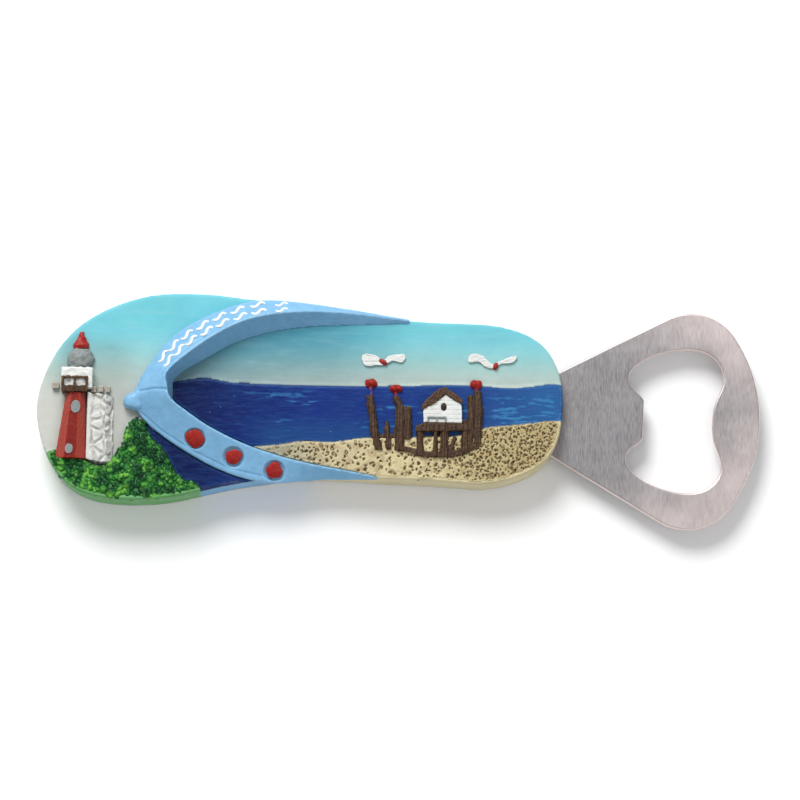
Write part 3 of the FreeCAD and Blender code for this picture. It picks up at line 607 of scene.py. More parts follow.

# In every coat below, the hollows are darkened, partly by a dark paint run in and partly by painted shade,
# and the ridges lightened, partly by a dry brush and partly by a painted highlight.
coats = {
    "body": coat("painted resin body", streak=(paint(196, 224, 222), 0.10, (9, 1.2, 4)),
                 speck=(paint(120, 140, 140), 0.09, 1.5), wash_and_shade=(paint(60, 90, 95), 0.5),
                 peel=(0.9, 0.015)),
    "sea": coat("sea paint", streak=(paint(40, 90, 150), 0.26, (2.6, 0.5, 0.8)),
                speck=(paint(170, 195, 215), 0.10, 1.1), wash_and_shade=(paint(10, 20, 64), 0.6),
                wear_and_highlight=(paint(60, 112, 170), 0.3), peel=(0.6, 0.015), gloss=(0.3, 0.5), shine=0.1,
                lacquer=0.02),
    "sand": coat("sand paint", wash_and_shade=(paint(88, 62, 30), 1.25), wear_and_highlight=(paint(236, 224, 184), 0.45),
                 speck=(paint(110, 84, 45), 0.12, 0.9), peel=(0.25, 0.03), gloss=(0.5, 0.75),
                 lacquer=0.01),
    "dune": coat("dune paint", wash_and_shade=(paint(16, 62, 34), 1.0), wear_and_highlight=(paint(104, 172, 66), 0.5),
                 peel=(0.25, 0.03)),
    "leaf": coat("leaf paint", wash_and_shade=(paint(16, 68, 36), 1.0), wear_and_highlight=(paint(96, 168, 62), 0.55),
                 peel=(0.3, 0.03)),
    # The strap's lighter ridges are mostly a painted highlight along the crest.
    "strap": coat("strap blue", paint(134, 191, 231), streak=(paint(116, 174, 217), 0.35, (2.2, 2.2, 3)),
                  speck=(paint(70, 110, 150), 0.07, 2.1), wash_and_shade=(paint(52, 100, 146), 0.8),
                  wear_and_highlight=(paint(176, 214, 240), 0.55), peel=(0.8, 0.012), gloss=(0.24, 0.42),
                  shine=0.3),
    "white": coat("white paint", paint(236, 238, 234), wash_and_shade=(paint(112, 112, 108), 0.9),
                  wear_and_highlight=(paint(252, 252, 250), 0.5), peel=(0.4, 0.02)),
    "mark": coat("mark paint", paint(240, 246, 248), wear_and_highlight=(paint(255, 255, 255), 0.4), peel=(0.3, 0.03)),
    "red": coat("red paint", RED, streak=(paint(188, 66, 54), 0.4, (0.9, 0.9, 0.9)),
                wash_and_shade=(paint(78, 18, 20), 0.8), wear_and_highlight=(paint(205, 92, 74), 0.5), peel=(0.4, 0.03),
                gloss=(0.3, 0.5), lacquer=0.1),
    "tower": coat("tower paint", streak=(paint(150, 44, 34), 0.5, (0.35, 3.0, 0.8)),
                  wash_and_shade=(paint(92, 20, 16), 0.8), wear_and_highlight=(paint(206, 66, 52), 0.8), peel=(0.4, 0.03)),
    "lamp": coat("lamp paint", wash_and_shade=(paint(92, 16, 14), 0.9), wear_and_highlight=(paint(214, 70, 56), 0.6),
                 peel=(0.3, 0.03)),
    "grey": coat("grey paint", paint(140, 148, 146), wash_and_shade=(paint(52, 58, 58), 0.9),
                 wear_and_highlight=(paint(196, 202, 198), 0.5), peel=(0.3, 0.03)),
    "stone": coat("stone paint", paint(222, 222, 216), wash_and_shade=(paint(96, 98, 96), 1.0),
                  wear_and_highlight=(paint(246, 246, 240), 0.6), peel=(0.3, 0.04)),
    "cream_stone": coat("worn stone paint", paint(170, 160, 146), wash_and_shade=(paint(80, 72, 64), 1.0),
                        wear_and_highlight=(paint(214, 208, 198), 0.7), peel=(0.3, 0.04)),
    "wood": coat("weathered wood paint", BROWN, streak=(paint(100, 74, 54), 0.6, (0.22, 1.6, 0.4)),
                 wash_and_shade=(SOOT, 1.0), wear_and_highlight=(GOLD, 0.4), peel=(0.2, 0.05), gloss=(0.4, 0.65)),
    "roof": coat("roof paint", paint(80, 60, 48), streak=(paint(112, 84, 62), 0.6, (0.3, 0.3, 0.3)),
                 wash_and_shade=(SOOT, 1.0), wear_and_highlight=(GOLD, 0.35), peel=(0.2, 0.05), gloss=(0.4, 0.65)),
    "dark": coat("dark window paint", paint(52, 36, 30), wear_and_highlight=(paint(110, 80, 60), 0.4), peel=(0.2, 0.03)),
}
# The blade has a painted sheen towards its head and a painted highlight on its rounded edges.
steel = brushed_metal("stamped steel", linear(168, 164, 165), linear(130, 127, 130), (0.11, 1.5, 0.3),
                      (0.32, 0.46), (linear(182, 163, 158), (60, 80)), linear(246, 228, 222))
ferrite = brushed_metal("ferrite", linear(70, 68, 70), linear(44, 43, 46), (0.5, 0.5, 0.5), (0.45, 0.6))


# ---- painted zones of the face --------------------------------------------------------------------

ZONES = ("sea_panel", "inlet_panel", "beach_panel", "dune_panel")
zone_shapes = {zone: merged_copy(zone) for zone in ZONES}
body_shape = merged_copy("sole", *ZONES)
GRID = 0.25
plan_x, plan_y = plan_grid(body_shape, GRID)
zone_at = np.where(np.isnan(seen_from_above(body_shape, plan_x, plan_y)), -1, 0)
rim = rim_of(zone_at == 0, plan_x, plan_y)
for number, zone in enumerate(ZONES, 1):
    zone_at[~np.isnan(seen_from_above(zone_shapes[zone], plan_x, plan_y))] = number
SKY, SEA, INLET, BEACH, DUNE = range(5)

SKY_COLOURS = [
    (-1.0, paint(206, 208, 200)), (2.0, paint(195, 205, 197)), (4.0, paint(184, 202, 195)),
    (6.0, paint(171, 205, 201)), (8.0, paint(153, 206, 207)), (10.0, paint(137, 207, 215)),
    (12.0, paint(122, 205, 217)), (15.0, paint(113, 203, 216)),
]
SEA_COLOURS = [(-20.0, paint(10, 24, 78)), (-8.0, paint(16, 40, 110)), (4.0, paint(22, 48, 124)),
               (20.0, paint(26, 54, 130)), (36.0, paint(38, 76, 144)), (46.0, paint(44, 96, 156))]
SHORE_WATER = paint(34, 84, 140)
SAND_COLOURS = [(-14.0, paint(162, 160, 142)), (-2.0, paint(170, 165, 140)), (4.0, paint(198, 186, 148)),
                (16.0, paint(216, 202, 158)), (24.0, paint(219, 204, 158)), (34.0, paint(188, 171, 122)),
                (48.0, paint(180, 163, 115))]
THIN_WATER = paint(64, 138, 190)    # where the brush ran dry over the blue
SAND_STAIN = paint(150, 118, 74)
GRASS = paint(46, 118, 52)
AIRBRUSH_AND_PAINTED_SHADOW = (0.33, 0.47, 0.56)       # how much of the sky is left where the darker shade beside the upper arm is full, partly airbrushed and partly the strap's shadow painted in


# Crest line of the upper arm from the toe to the ball, where the sky's darker shade starts: partly
# airbrushed, partly the strap's shadow painted in.
UPPER_ARM_CREST = [(-25.0, 3.0), (-23.5, 5.2), (-19.8, 8.4), (-14.6, 12.0), (-8.6, 14.7), (-0.2, 16.1),
                   (10.0, 16.1), (20.3, 15.1)]


def arm_side(flat):
    """How far each plan point lies below the upper arm's crest, towards the sea."""
    xs, ys = zip(*UPPER_ARM_CREST)
    return np.where(flat[:, 0] > xs[0], np.interp(flat[:, 0], xs, ys) - flat[:, 1], -1.0)


def water_colours(points):
    """Dark sea with broad dry strokes of a thinner blue, paler along the shore."""
    broad = smooth_step(-0.05, 0.5, lumps(points, (9.0, 2.6, 5.0), 2, 30))
    broad = np.maximum(broad, 0.9 * smooth_step(33, 38, points[:, 0]))
    thin = smooth_step(0.1, 0.5, lumps(points, (2.6, 0.42, 5.0), 3, 34)) * broad
    thin *= smooth_step(2.2, 0.0, points[:, 1]) * smooth_step(-16, -8, points[:, 0])
    shore = 0.5 * smooth_step(-2.0, -7.0, points[:, 1]) * smooth_step(-12, -4, points[:, 0])
    water = over(blended(SEA_COLOURS, points[:, 0]), THIN_WATER, 0.9 * thin)
    return over(water, SHORE_WATER, shore)


def sand_colours(points):
    """Sand that is paler in the middle of the beach, with brown stains."""
    stain = 0.45 * smooth_step(0.0, 0.5, lumps(points, (1.8, 1.1, 5.0), 3, 35))
    return over(blended(SAND_COLOURS, points[:, 0]), SAND_STAIN, stain)


def sky_colours(points):
    """A sky that pales towards the sea, darker by the toe, and darker beside the upper arm, where an
    airbrushed shade and the strap's painted shadow lie.
    """
    flat = in_plan(points)
    near_arm = smooth_step(26.0, 0.0, nearest(flat, along_path(UPPER_ARM_CREST, 0.3))[0])
    inside = smooth_step(-0.8, 0.6, arm_side(flat)) * smooth_step(27, 0, points[:, 0])
    darker_by_toe = smooth_step(-28, -36, points[:, 0]) * smooth_step(12.5, 8.5, points[:, 1])
    sky = blended(SKY_COLOURS, points[:, 1])
    # Beside the upper arm the sky is darkened by an airbrushed shade and by the strap's painted shadow.
    sky = sky * (1 - (near_arm * inside)[:, None] * (1 - np.array(AIRBRUSH_AND_PAINTED_SHADOW)))
    return sky * (1 - 0.2 * (darker_by_toe * smooth_step(-46.5, -43, points[:, 0]))[:, None])


def zone_colours(points, zone):
    """The paint of one zone at each point."""
    if zone in (SEA, INLET):
        return water_colours(points)
    if zone == BEACH:
        return sand_colours(points)
    if zone == DUNE:
        return np.tile(GRASS, (len(points), 1))
    return sky_colours(points)


# ---- body: the cast sandal ------------------------------------------------------------------------

BODY_GRAIN = 0.36
BODY_BAND = (0.4, 0.9)              # across this band from the edge the body sinks
PLATE_BAND = (0.5, 0.15)            # and across this one a plate dips into the body
BACK_BAND = (1.1, 0.6)              # the wall paint ends over this band of height, above the plain back
BACK_PAINT = paint(224, 222, 212)
DROPS = (0.0, 0.22, 0.22, 0.5, 0.6)     # how far the body sinks under each zone's own plate
WALL_PAINTS = np.array([paint(86, 168, 88), paint(128, 188, 232), paint(238, 222, 172)])
WALL_CHANGES = (-18.5, 2.5)         # along the lower side, where one wall paint meets the next
TOE_WALL = paint(218, 220, 212)
UNDER_ARM = paint(40, 78, 130)      # the strip between the inlet and the lower arm
RIM_GREEN = paint(120, 186, 112)
RIM_SAND = paint(226, 214, 172)


def rim_distance(points):
    """Distance of each point from the edge of the sandal's face, in plan."""
    return nearest(in_plan(points), rim)[0]


def make_body():
    """The sole as one skin, sunk under each zone's plate and painted all over."""
    mesh = cast(body_shape, BODY_GRAIN, 4)
    points, normals = read(mesh), read(mesh, "normal")
    known = zone_at >= 0
    cells = np.stack([plan_x[known], plan_y[known], np.zeros(known.sum())], axis=1)
    _, which = nearest(in_plan(points), cells)
    zone = zone_at[known][which]
    edge = rim_distance(points)
    face_up = smooth_step(0.3, 0.7, normals[:, 2]) * (points[:, 2] > FACE - 0.5)
    drop = np.array(DROPS)[zone] * smooth_step(*BODY_BAND, edge) * face_up
    uneven = 0.05 * lumps(points, 4.0, 2, 1) + 0.025 * lumps(points, 1.2, 2, 2)
    bottom = points[:, 2] < 0.3
    points[:, 2] -= drop
    write(mesh, points)
    push(mesh, np.where(bottom, 0.0, uneven - 0.03))

    colours = np.zeros((len(points), 3))
    for number in range(len(ZONES) + 1):
        here = zone == number
        colours[here] = zone_colours(points[here], number)
    x, y = points[:, 0], points[:, 1]
    colours[(zone == SKY) & (y < -2) & (x > -27)] = UNDER_ARM
    wall = colours.copy()
    low_side = y < -9
    wavy_x = x + 0.7 * lumps(points, 2.2, 2, 36)
    wall[low_side] = WALL_PAINTS[np.searchsorted(WALL_CHANGES, wavy_x[low_side], side="right")]
    wall[(x < -46.5) & (y > -10)] = TOE_WALL
    side = smooth_step(0.8, 0.3, edge) * smooth_step(FACE + 0.2, FACE - 0.8, points[:, 2])
    colours = over(colours, wall, side)
    back = smooth_step(*BACK_BAND, points[:, 2] + 0.15 * lumps(points, 1.5, 2, 37))
    colours = over(colours, BACK_PAINT, back)
    colours = over(colours, RIM_GREEN, 0.6 * ((zone == DUNE) & (edge < 0.7)))
    colours = over(colours, RIM_SAND, 0.7 * ((zone == BEACH) & (edge < 0.8)))
    patch = 1 + 0.05 * lumps(points, 6.0, 3, 3)
    store(mesh, "paint", colours * patch[:, None])
    mark_relief(mesh, 12, 0.25)
    return finished("cast_body", mesh, coats["body"], ("sole",))


# ---- relief plates: sea, inlet, sand and dune -----------------------------------------------------

PLATE_DIP = 0.9                     # how far a plate dips into the body at the sandal's edge


def relief_plate(zone, step, shape):
    """A zone's own closed skin. shape(points, own edge, rim) gives its heights above the CAD plate."""
    zone_shape = zone_shapes[ZONES[zone - 1]]
    x, y = plan_grid(zone_shape, step)
    tops = seen_from_above(zone_shape, x, y)
    inside = ~np.isnan(tops)
    points = np.stack([x[inside], y[inside], tops[inside]], axis=1)
    own = nearest(in_plan(points), rim_of(inside, x, y))[0]
    rim_gap = rim_distance(points)
    heights = np.median(points[:, 2]) + shape(points, own, rim_gap)
    tops[inside] = heights - PLATE_DIP * smooth_step(*PLATE_BAND, rim_gap)
    return without_crumbs(plate(x, y, tops))


def rounded_edge(own, fall, reach):
    """A quarter round that drops by fall over the last stretch before the plate's own edge."""
    return -fall * (1 - np.sqrt(np.clip(1 - (1 - np.clip(own / reach, 0, 1)) ** 2, 0, 1)))


def sea_shape(points, own, rim_gap):
    ripples = lumps(points, (2.6, 0.42, 1.0), 3, 5)
    chop = lumps(points, (0.7, 0.3, 1.0), 2, 6)
    return 0.022 * ripples + 0.012 * chop + rounded_edge(own, 0.2, 0.25)


# Stipple of the sand: seed, spacing, smallest and largest radius, share kept at the left and right.
STIPPLES = ((7, 0.95, 0.18, 0.48, 0.76, 0.9), (8, 0.72, 0.14, 0.30, 0.15, 0.95))


def pit_sites(low, high):
    """Seeded places and sizes of the small pits that the sand is stippled with."""
    sites, radii = [], []
    for seed, spacing, smallest, largest, left, right in STIPPLES:
        chance = np.random.default_rng(seed)
        xs, ys = np.meshgrid(np.arange(low[0], high[0], spacing), np.arange(low[1], high[1], spacing))
        spots = np.stack([xs.ravel(), ys.ravel(), np.zeros(xs.size)], axis=1)
        spots[:, :2] += chance.uniform(-0.5, 0.5, (len(spots), 2)) * spacing
        share = left + (right - left) * smooth_step(20, 36, spots[:, 0])
        kept = chance.uniform(0, 1, len(spots)) < share
        sites.append(spots[kept])
        radii.append(chance.uniform(smallest, largest, kept.sum()))
    return np.vstack(sites), np.concatenate(radii)


def pits_at(points):
    """How deep in a pit each point lies, from 0 to 1."""
    sites, radius = pit_sites(points.min(axis=0), points.max(axis=0))
    wander = np.stack([lumps(points, 0.45, 1, 8), lumps(points, 0.45, 1, 9)], axis=1) * 0.3
    moved = in_plan(points)
    moved[:, :2] += wander
    gap, which = nearest(moved, sites)
    return smooth_step(1.2, 0.4, gap / radius[which])


def sand_shape(points, own, rim_gap):
    drifts = 0.12 * lumps(points, 3.5, 2, 10) + 0.09 * lumps(points, 0.8, 2, 11)
    stippled = smooth_step(0.4, 0.8, rim_gap) * smooth_step(-8.0, -3.0, points[:, 0])
    return drifts - 0.4 * pits_at(points) * stippled + rounded_edge(own, 0.35, 0.4)


def dune_shape(points, own, rim_gap):
    clumps = 0.45 * lumps(points, 2.6, 2, 12) + 0.2 * lumps(points, 0.9, 2, 13)
    return clumps - 0.15 + rounded_edge(own, 0.5, 0.7)


def finish_plate(name, mesh, zone, finish):
    """Paints a zone's plate, a little patchy, and makes it a piece."""
    points = read(mesh)
    patch = 1 + 0.07 * lumps(points, 3.0, 3, 14)
    store(mesh, "paint", zone_colours(points, zone) * patch[:, None])
    return finished(name, mesh, coats[finish], (ZONES[zone - 1],))


def make_relief():
    for zone, name in ((SEA, "sea_relief"), (INLET, "inlet_relief")):
        mesh = relief_plate(zone, 0.16, sea_shape)
        mark_relief(mesh, 6, 0.05)
        finish_plate(name, mesh, zone, "sea")
    sand = relief_plate(BEACH, 0.13, sand_shape)
    mark_relief(sand, 8, 0.11)
    finish_plate("beach_relief", sand, BEACH, "sand")
    dune = relief_plate(DUNE, 0.16, dune_shape)
    points = read(dune)
    store(dune, "tuft", smooth_step(0.2, 0.6, rim_distance(points)) * (points[:, 2] > FACE + 0.6))
    leaves = make_leaves(dune)
    mark_relief(dune, 8, 0.12)
    finish_plate("dune_relief", dune, DUNE, "dune")
    finished("dune_leaves", leaves, coats["leaf"])


# ---- Geometry Nodes: what repeats -----------------------------------------------------------------

def grower(name, inputs, build):
    """A Geometry Nodes tree on the host's own shape, with {name: usual value} for its other inputs."""
    tree = bpy.data.node_groups.new(name, "GeometryNodeTree")
    tree.interface.new_socket("Geometry", in_out="INPUT", socket_type="NodeSocketGeometry")
    for title, value in inputs.items():
        kind = "NodeSocketInt" if isinstance(value, int) else "NodeSocketFloat"
        tree.interface.new_socket(title, in_out="INPUT", socket_type=kind).default_value = value
    tree.interface.new_socket("Finish", in_out="INPUT", socket_type="NodeSocketMaterial")
    tree.interface.new_socket("Geometry", in_out="OUTPUT", socket_type="NodeSocketGeometry")
    w = Wiring(tree)
    given = w.add("NodeGroupInput").outputs
    real = w.add("GeometryNodeRealizeInstances", {"Geometry": build(w, given)})
    coated = w.add("GeometryNodeSetMaterial", {"Geometry": real.outputs[0], "Material": given["Finish"]})
    w.add("NodeGroupOutput", {"Geometry": coated.outputs[0]})
    return tree


def grown(host, tree, finish, values):
    """What the tree makes on the host mesh with these values, as a plain mesh."""
    def add(thing):
        grow = thing.modifiers.new("grow", "NODES")
        grow.node_group = tree
        for socket in tree.interface.items_tree:
            if socket.in_out == "INPUT" and socket.name in values:
                grow[socket.identifier] = values[socket.name]
            if socket.name == "Finish":
                grow[socket.identifier] = coats[finish]
    return from_modifiers(host, add)


def build_leaves(w, given):
    """Small rounded leaves scattered over the host where its "tuft" value is high."""
    tuft = w.add("GeometryNodeInputNamedAttribute", {"Name": "tuft"}, data_type="FLOAT").outputs[0]
    spots = w.add("GeometryNodeDistributePointsOnFaces", {
        "Mesh": given["Geometry"], "Distance Min": given["Spacing"], "Density Max": given["Density"],
        "Density Factor": tuft, "Seed": given["Seed"]}, distribute_method="POISSON")
    ball = w.add("GeometryNodeMeshUVSphere", {"Segments": 7, "Rings": 5, "Radius": given["Leaf Size"]})
    shift = w.add("GeometryNodeInputPosition").outputs[0]
    wobble = w.add("ShaderNodeTexNoise", {"Vector": shift, "Scale": 2.4, "Detail": 1.0}).outputs[1]
    push_out = w.add("ShaderNodeVectorMath", {0: wobble, 1: (0.5, 0.5, 0.5)}, operation="SUBTRACT")
    scaled = w.add("ShaderNodeVectorMath", {0: push_out.outputs[0], "Scale": 0.35}, operation="SCALE")
    leaf = w.add("GeometryNodeSetPosition", {"Geometry": ball.outputs[0], "Offset": scaled.outputs[0]})
    leaf = w.add("GeometryNodeTransform", {"Geometry": leaf.outputs[0], "Scale": (1.1, 0.85, 0.5)})
    turn = w.add("FunctionNodeRandomValue", {
        0: (-0.5, -0.5, 0.0), 1: (0.5, 0.5, 2 * math.pi), "Seed": given["Seed"]}, data_type="FLOAT_VECTOR")
    size = w.add("FunctionNodeRandomValue", {2: 0.45, 3: 1.4, "Seed": given["Seed"]}, data_type="FLOAT")
    placed = w.add("GeometryNodeInstanceOnPoints", {
        "Points": spots.outputs[0], "Instance": leaf.outputs[0], "Rotation": turn.outputs[0],
        "Scale": size.outputs[1]})
    return placed.outputs[0]


LEAF_COLOURS = [(-0.6, paint(8, 52, 30)), (-0.2, paint(20, 92, 40)), (0.15, paint(50, 140, 52)),
                (0.45, paint(118, 190, 74))]


LEAVES = {"Spacing": 0.5, "Density": 6.0, "Leaf Size": 0.5, "Seed": 3}


def make_leaves(dune):
    """The dune's leaves: lighter on their tops as a painted highlight, darker low down and on the inlet
    side as painted shade.
    """
    leaves = grown(dune.copy(), grower("leaves", LEAVES, build_leaves), "leaf", LEAVES)
    points = read(leaves)
    rise = points[:, 2] - ground_under(points, dune)
    bright = lumps(points, 1.9, 2, 15)
    # Lighter on the tops of the leaves as a painted highlight, in patches; darker low down as painted
    # shade, and in random patches.
    store(leaves, "ridge", smooth_step(0.1, 0.45, rise) * (0.1 + 0.9 * smooth_step(0.05, 0.4, bright)))
    store(leaves, "hollow", smooth_step(0.25, -0.05, rise) + 0.8 * smooth_step(0.0, -0.35, bright))
    # Painted shade on the inlet side of the dune.
    shaded = smooth_step(-31.5, -28.5, points[:, 0]) * smooth_step(-15.0, -11.0, points[:, 1])
    patches = lumps(points, 1.7, 2, 31) * 1.5 + lumps(points, 0.7, 1, 38) * 0.4
    store(leaves, "paint", blended(LEAF_COLOURS, patches - 0.45 * shaded))
    return leaves


def ground_under(points, mesh):
    """Height of the mesh's top at the place nearest each point in plan."""
    host = read(mesh)
    top = host[host[:, 2] > host[:, 2].min() + 0.3]
    return top[nearest(in_plan(points), in_plan(top))[1], 2]


def build_wave_marks(w, given):
    """A pair of short wavy strokes on every host point, turned and sized by the point's own values."""
    half = w.math("MULTIPLY", given["Length"], 0.5)
    back = w.math("MULTIPLY", half, -1.0)
    start = w.add("ShaderNodeCombineXYZ", {0: back}).outputs[0]
    end = w.add("ShaderNodeCombineXYZ", {0: half}).outputs[0]
    line = w.add("GeometryNodeCurvePrimitiveLine", {"Start": start, "End": end})
    line = w.add("GeometryNodeResampleCurve", {"Curve": line.outputs[0], "Count": 17})
    share = w.add("GeometryNodeSplineParameter").outputs[0]
    wave = w.math("SINE", w.math("MULTIPLY", w.math("SUBTRACT", share, 0.5), 2 * math.pi))
    bend = w.add("ShaderNodeCombineXYZ", {1: w.math("MULTIPLY", wave, given["Swing"])}).outputs[0]
    line = w.add("GeometryNodeSetPosition", {"Geometry": line.outputs[0], "Offset": bend})
    taper = w.math("MULTIPLY", share, math.pi)
    thick = w.ranged(w.math("SINE", taper), 0.0, 0.6, 0.55, 1.0)
    line = w.add("GeometryNodeSetCurveRadius", {"Curve": line.outputs[0], "Radius": thick})
    tip = w.add("GeometryNodeCurvePrimitiveCircle", {"Resolution": 8, "Radius": given["Stroke"]})
    stroke = w.add("GeometryNodeCurveToMesh", {
        "Curve": line.outputs[0], "Profile Curve": tip.outputs[0], "Fill Caps": True,
        "Scale": thick})
    pair = w.add("GeometryNodeJoinGeometry")
    for side in (0.5, -0.5):
        aside = w.add("ShaderNodeCombineXYZ", {1: w.math("MULTIPLY", given["Gap"], side)}).outputs[0]
        moved = w.add("GeometryNodeTransform", {
            "Geometry": stroke.outputs[0], "Translation": aside, "Scale": (1.0, 1.0, 0.55)})
        w.tree.links.new(moved.outputs[0], pair.inputs[0])
    turn = w.add("GeometryNodeInputNamedAttribute", {"Name": "turn"}, data_type="FLOAT_VECTOR")
    size = w.add("GeometryNodeInputNamedAttribute", {"Name": "size"}, data_type="FLOAT")
    placed = w.add("GeometryNodeInstanceOnPoints", {
        "Points": given["Geometry"], "Instance": pair.outputs[0], "Rotation": turn.outputs[0],
        "Scale": size.outputs[0]})
    return placed.outputs[0]


MARK_GAP = 1.9                      # between the two waves of a full-size mark
MARK_LIFT = 0.12                    # the strokes' middles above those of the CAD's waves
STROKES = {"Length": 2.8, "Swing": 0.5, "Stroke": 0.36, "Gap": MARK_GAP}


def main_directions(points):
    """Middle of the points and their longest, middle and shortest directions, right-handed."""
    _, _, axes = np.linalg.svd(points - points.mean(axis=0), full_matrices=False)
    long, flat = axes[0], axes[2]
    if flat[2] < 0:
        flat = -flat
    if long[0] < 0:
        long = -long
    return middle_of(points), long, np.cross(flat, long), flat


def make_wave_marks():
    """Turns the CAD marks' places, directions and sizes into a host for the stroke tree."""
    arm = surface_of(merged_copy("strap_upper_arm"))
    middles = [middle_of(part) for part in loose_parts(merged_copy("strap_wave_marks"))]
    places, turns, sizes = [], [], []
    while middles:
        middle = middles.pop()
        partner = middles.pop(int(np.argmin([np.linalg.norm(other - middle) for other in middles])))
        between = (middle + partner) / 2
        across = (middle - partner) * np.sign((middle - partner)[1])
        gap = np.linalg.norm(across)
        up = np.array(arm.find_nearest(Vector(between))[1])
        along = np.cross(across / gap, up)
        along /= np.linalg.norm(along)
        turn = Matrix(np.stack([along, np.cross(up, along), up], axis=1).tolist())
        places.append(tuple(between + up * MARK_LIFT))
        turns.append(turn.to_euler()[:])
        sizes.append(gap / MARK_GAP)
    host = bpy.data.meshes.new("marks")
    host.from_pydata(places, [], [])
    host.attributes.new("turn", "FLOAT_VECTOR", "POINT").data.foreach_set("vector", np.ravel(turns))
    host.attributes.new("size", "FLOAT", "POINT").data.foreach_set("value", np.array(sizes))
    mesh = grown(host, grower("wave marks", STROKES, build_wave_marks), "mark", STROKES)
    push(mesh, 0.03 * lumps(read(mesh), 0.6, 2, 16))
    return finished("wave_marks", mesh, coats["mark"], ("strap_wave_marks",))


# ---- strap ----------------------------------------------------------------------------------------

STRAP_GRAIN = 0.2
# Lines drawn in the strap before it was cast: plan path, half width, depth.
STRAP_LINES = (
    ([(-25.6, 3.4), (-24.1, 5.8), (-20.5, 9.0), (-16.6, 11.6)], 0.16, 0.12),
    ([(-29.4, -3.4), (-25.5, -6.7), (-19.9, -10.2), (-12.8, -13.5), (-5.0, -15.1)], 0.16, 0.12),
    ([(-29.8, 0.6), (-27.0, 0.9), (-24.7, 0.7)], 0.2, 0.22),
    ([(-30.1, 1.5), (-29.6, 2.9)], 0.2, 0.2),
)
RING_GAP = 0.2                      # between a dot and the shallow ring sunk round it
RING_DEPTH = 0.15
NOSE_MIDDLE = -1.9                  # the toe post's nose narrows towards this line
DOT_SPREADS = (0.98, 0.80, 0.82)    # of each dot, from the toe on


def make_strap():
    """The strap and toe post as one skin, with drawn lines and a sunk ring for each dot."""
    nodes = ("strap_upper_arm", "strap_lower_arm", "strap_saddle", "toe_post")
    mesh = cast(merged_copy(*nodes), STRAP_GRAIN, 5)
    worn = smooth_step(-29.6, -30.6, read(mesh)[:, 0])
    points = relaxed(mesh, 45, worn)
    points[:, 1] += (NOSE_MIDDLE - points[:, 1]) * 0.28 * smooth_step(-29.8, -32.4, points[:, 0])
    write(mesh, points)
    points, normals = read(mesh), read(mesh, "normal")
    upward = smooth_step(0.2, 0.5, normals[:, 2])
    amounts = 0.05 * lumps(points, 3.0, 2, 17) + 0.03 * lumps(points, 0.9, 2, 18)
    flat = in_plan(points)
    for path, width, depth in STRAP_LINES:
        gap, _ = nearest(flat, along_path(path, 0.1))
        amounts -= depth * np.exp(-(gap / width) ** 2) * upward
    for dot in loose_parts(merged_copy("strap_dots")):
        middle, long, _, _ = main_directions(dot)
        gap = np.linalg.norm(points - middle, axis=1)
        ring = np.ptp(dot @ long) / 2 + RING_GAP
        amounts -= RING_DEPTH * smooth_step(ring + 0.15, ring - 0.15, gap) * upward
    push(mesh, amounts)
    mark_relief(mesh, 10, 0.14)
    return finished("strap", mesh, coats["strap"], nodes)


def make_dots():
    """Three blobs of thick red paint, each spread to its own uneven outline."""
    mesh = cast(merged_copy("strap_dots"), 0.13, 4)
    points = read(mesh)
    dots = [main_directions(dot) for dot in loose_parts(merged_copy("strap_dots"))]
    dots.sort(key=lambda dot: dot[0][0])
    middles = np.array([dot[0] for dot in dots])
    _, which = nearest(points, middles)
    for number, (middle, long, across, up) in enumerate(dots):
        mine = which == number
        offset = points[mine] - middle
        u, v, rise = offset @ long, offset @ across, offset @ up
        angle = np.arctan2(v, u)
        ring = np.stack([np.cos(angle) * 1.3, np.sin(angle) * 1.3, np.full(len(u), number * 3.0)], axis=1)
        smear = 0.16 * np.exp(-(angle / 0.45) ** 2) * (number > 0)
        reach = DOT_SPREADS[number] * (1 + 0.13 * lumps(ring, 1.0, 2, 19)) + smear
        crown = 0.35 * np.clip(1 - (np.hypot(u, v) / 1.85) ** 2, 0, 1) * (rise > 0)
        points[mine] = (middle + np.outer(u * reach, long) + np.outer(v * reach, across)
                        + np.outer(rise - 0.1 + crown, up))
    write(mesh, points)
    push(mesh, 0.05 * lumps(points, 0.5, 2, 20))
    mark_relief(mesh, 8, 0.1)
    return finished("paint_dots", mesh, coats["red"], ("strap_dots",))


# ---- lighthouse, gulls, hut and piles -------------------------------------------------------------

def plain(points):
    return 0.05 * lumps(points, 0.9, 2, 21) + 0.025 * lumps(points, 0.35, 2, 22)


def crumpled(points):
    return plain(points) + 0.1 - 0.4 * np.abs(lumps(points, 1.3, 1, 32))


def quoined(points):
    """Big uneven corner stones along one side, with smooth render beside them."""
    stones = smooth_step(-39.1, -38.4, points[:, 0])
    gap = cell_gaps(points * (1.0, 0.8, 0.6), 1.9, 2)
    tilt = 0.3 * lumps(points, 1.3, 1, 33)
    return plain(points) + stones * (tilt - 0.4 * smooth_step(0.3, 0.05, gap))


def knotted(points):
    grain = lumps(points, (0.34, 3.2, 0.34), 3, 23)
    return 0.2 * grain + 0.1 * lumps(points, 0.6, 2, 24)


def thatched(points):
    return 0.14 * lumps(points, (0.35, 0.35, 0.35), 2, 25) + 0.1 * lumps(points, 1.0, 1, 26)


def feathered(points):
    return 0.09 * lumps(points, (1.2, 0.35, 1.2), 2, 27) - 0.03


def boarded(points):
    return plain(points) - 0.05 * smooth_step(0.75, 0.95, np.cos(points[:, 1] * 2 * math.pi / 0.85))


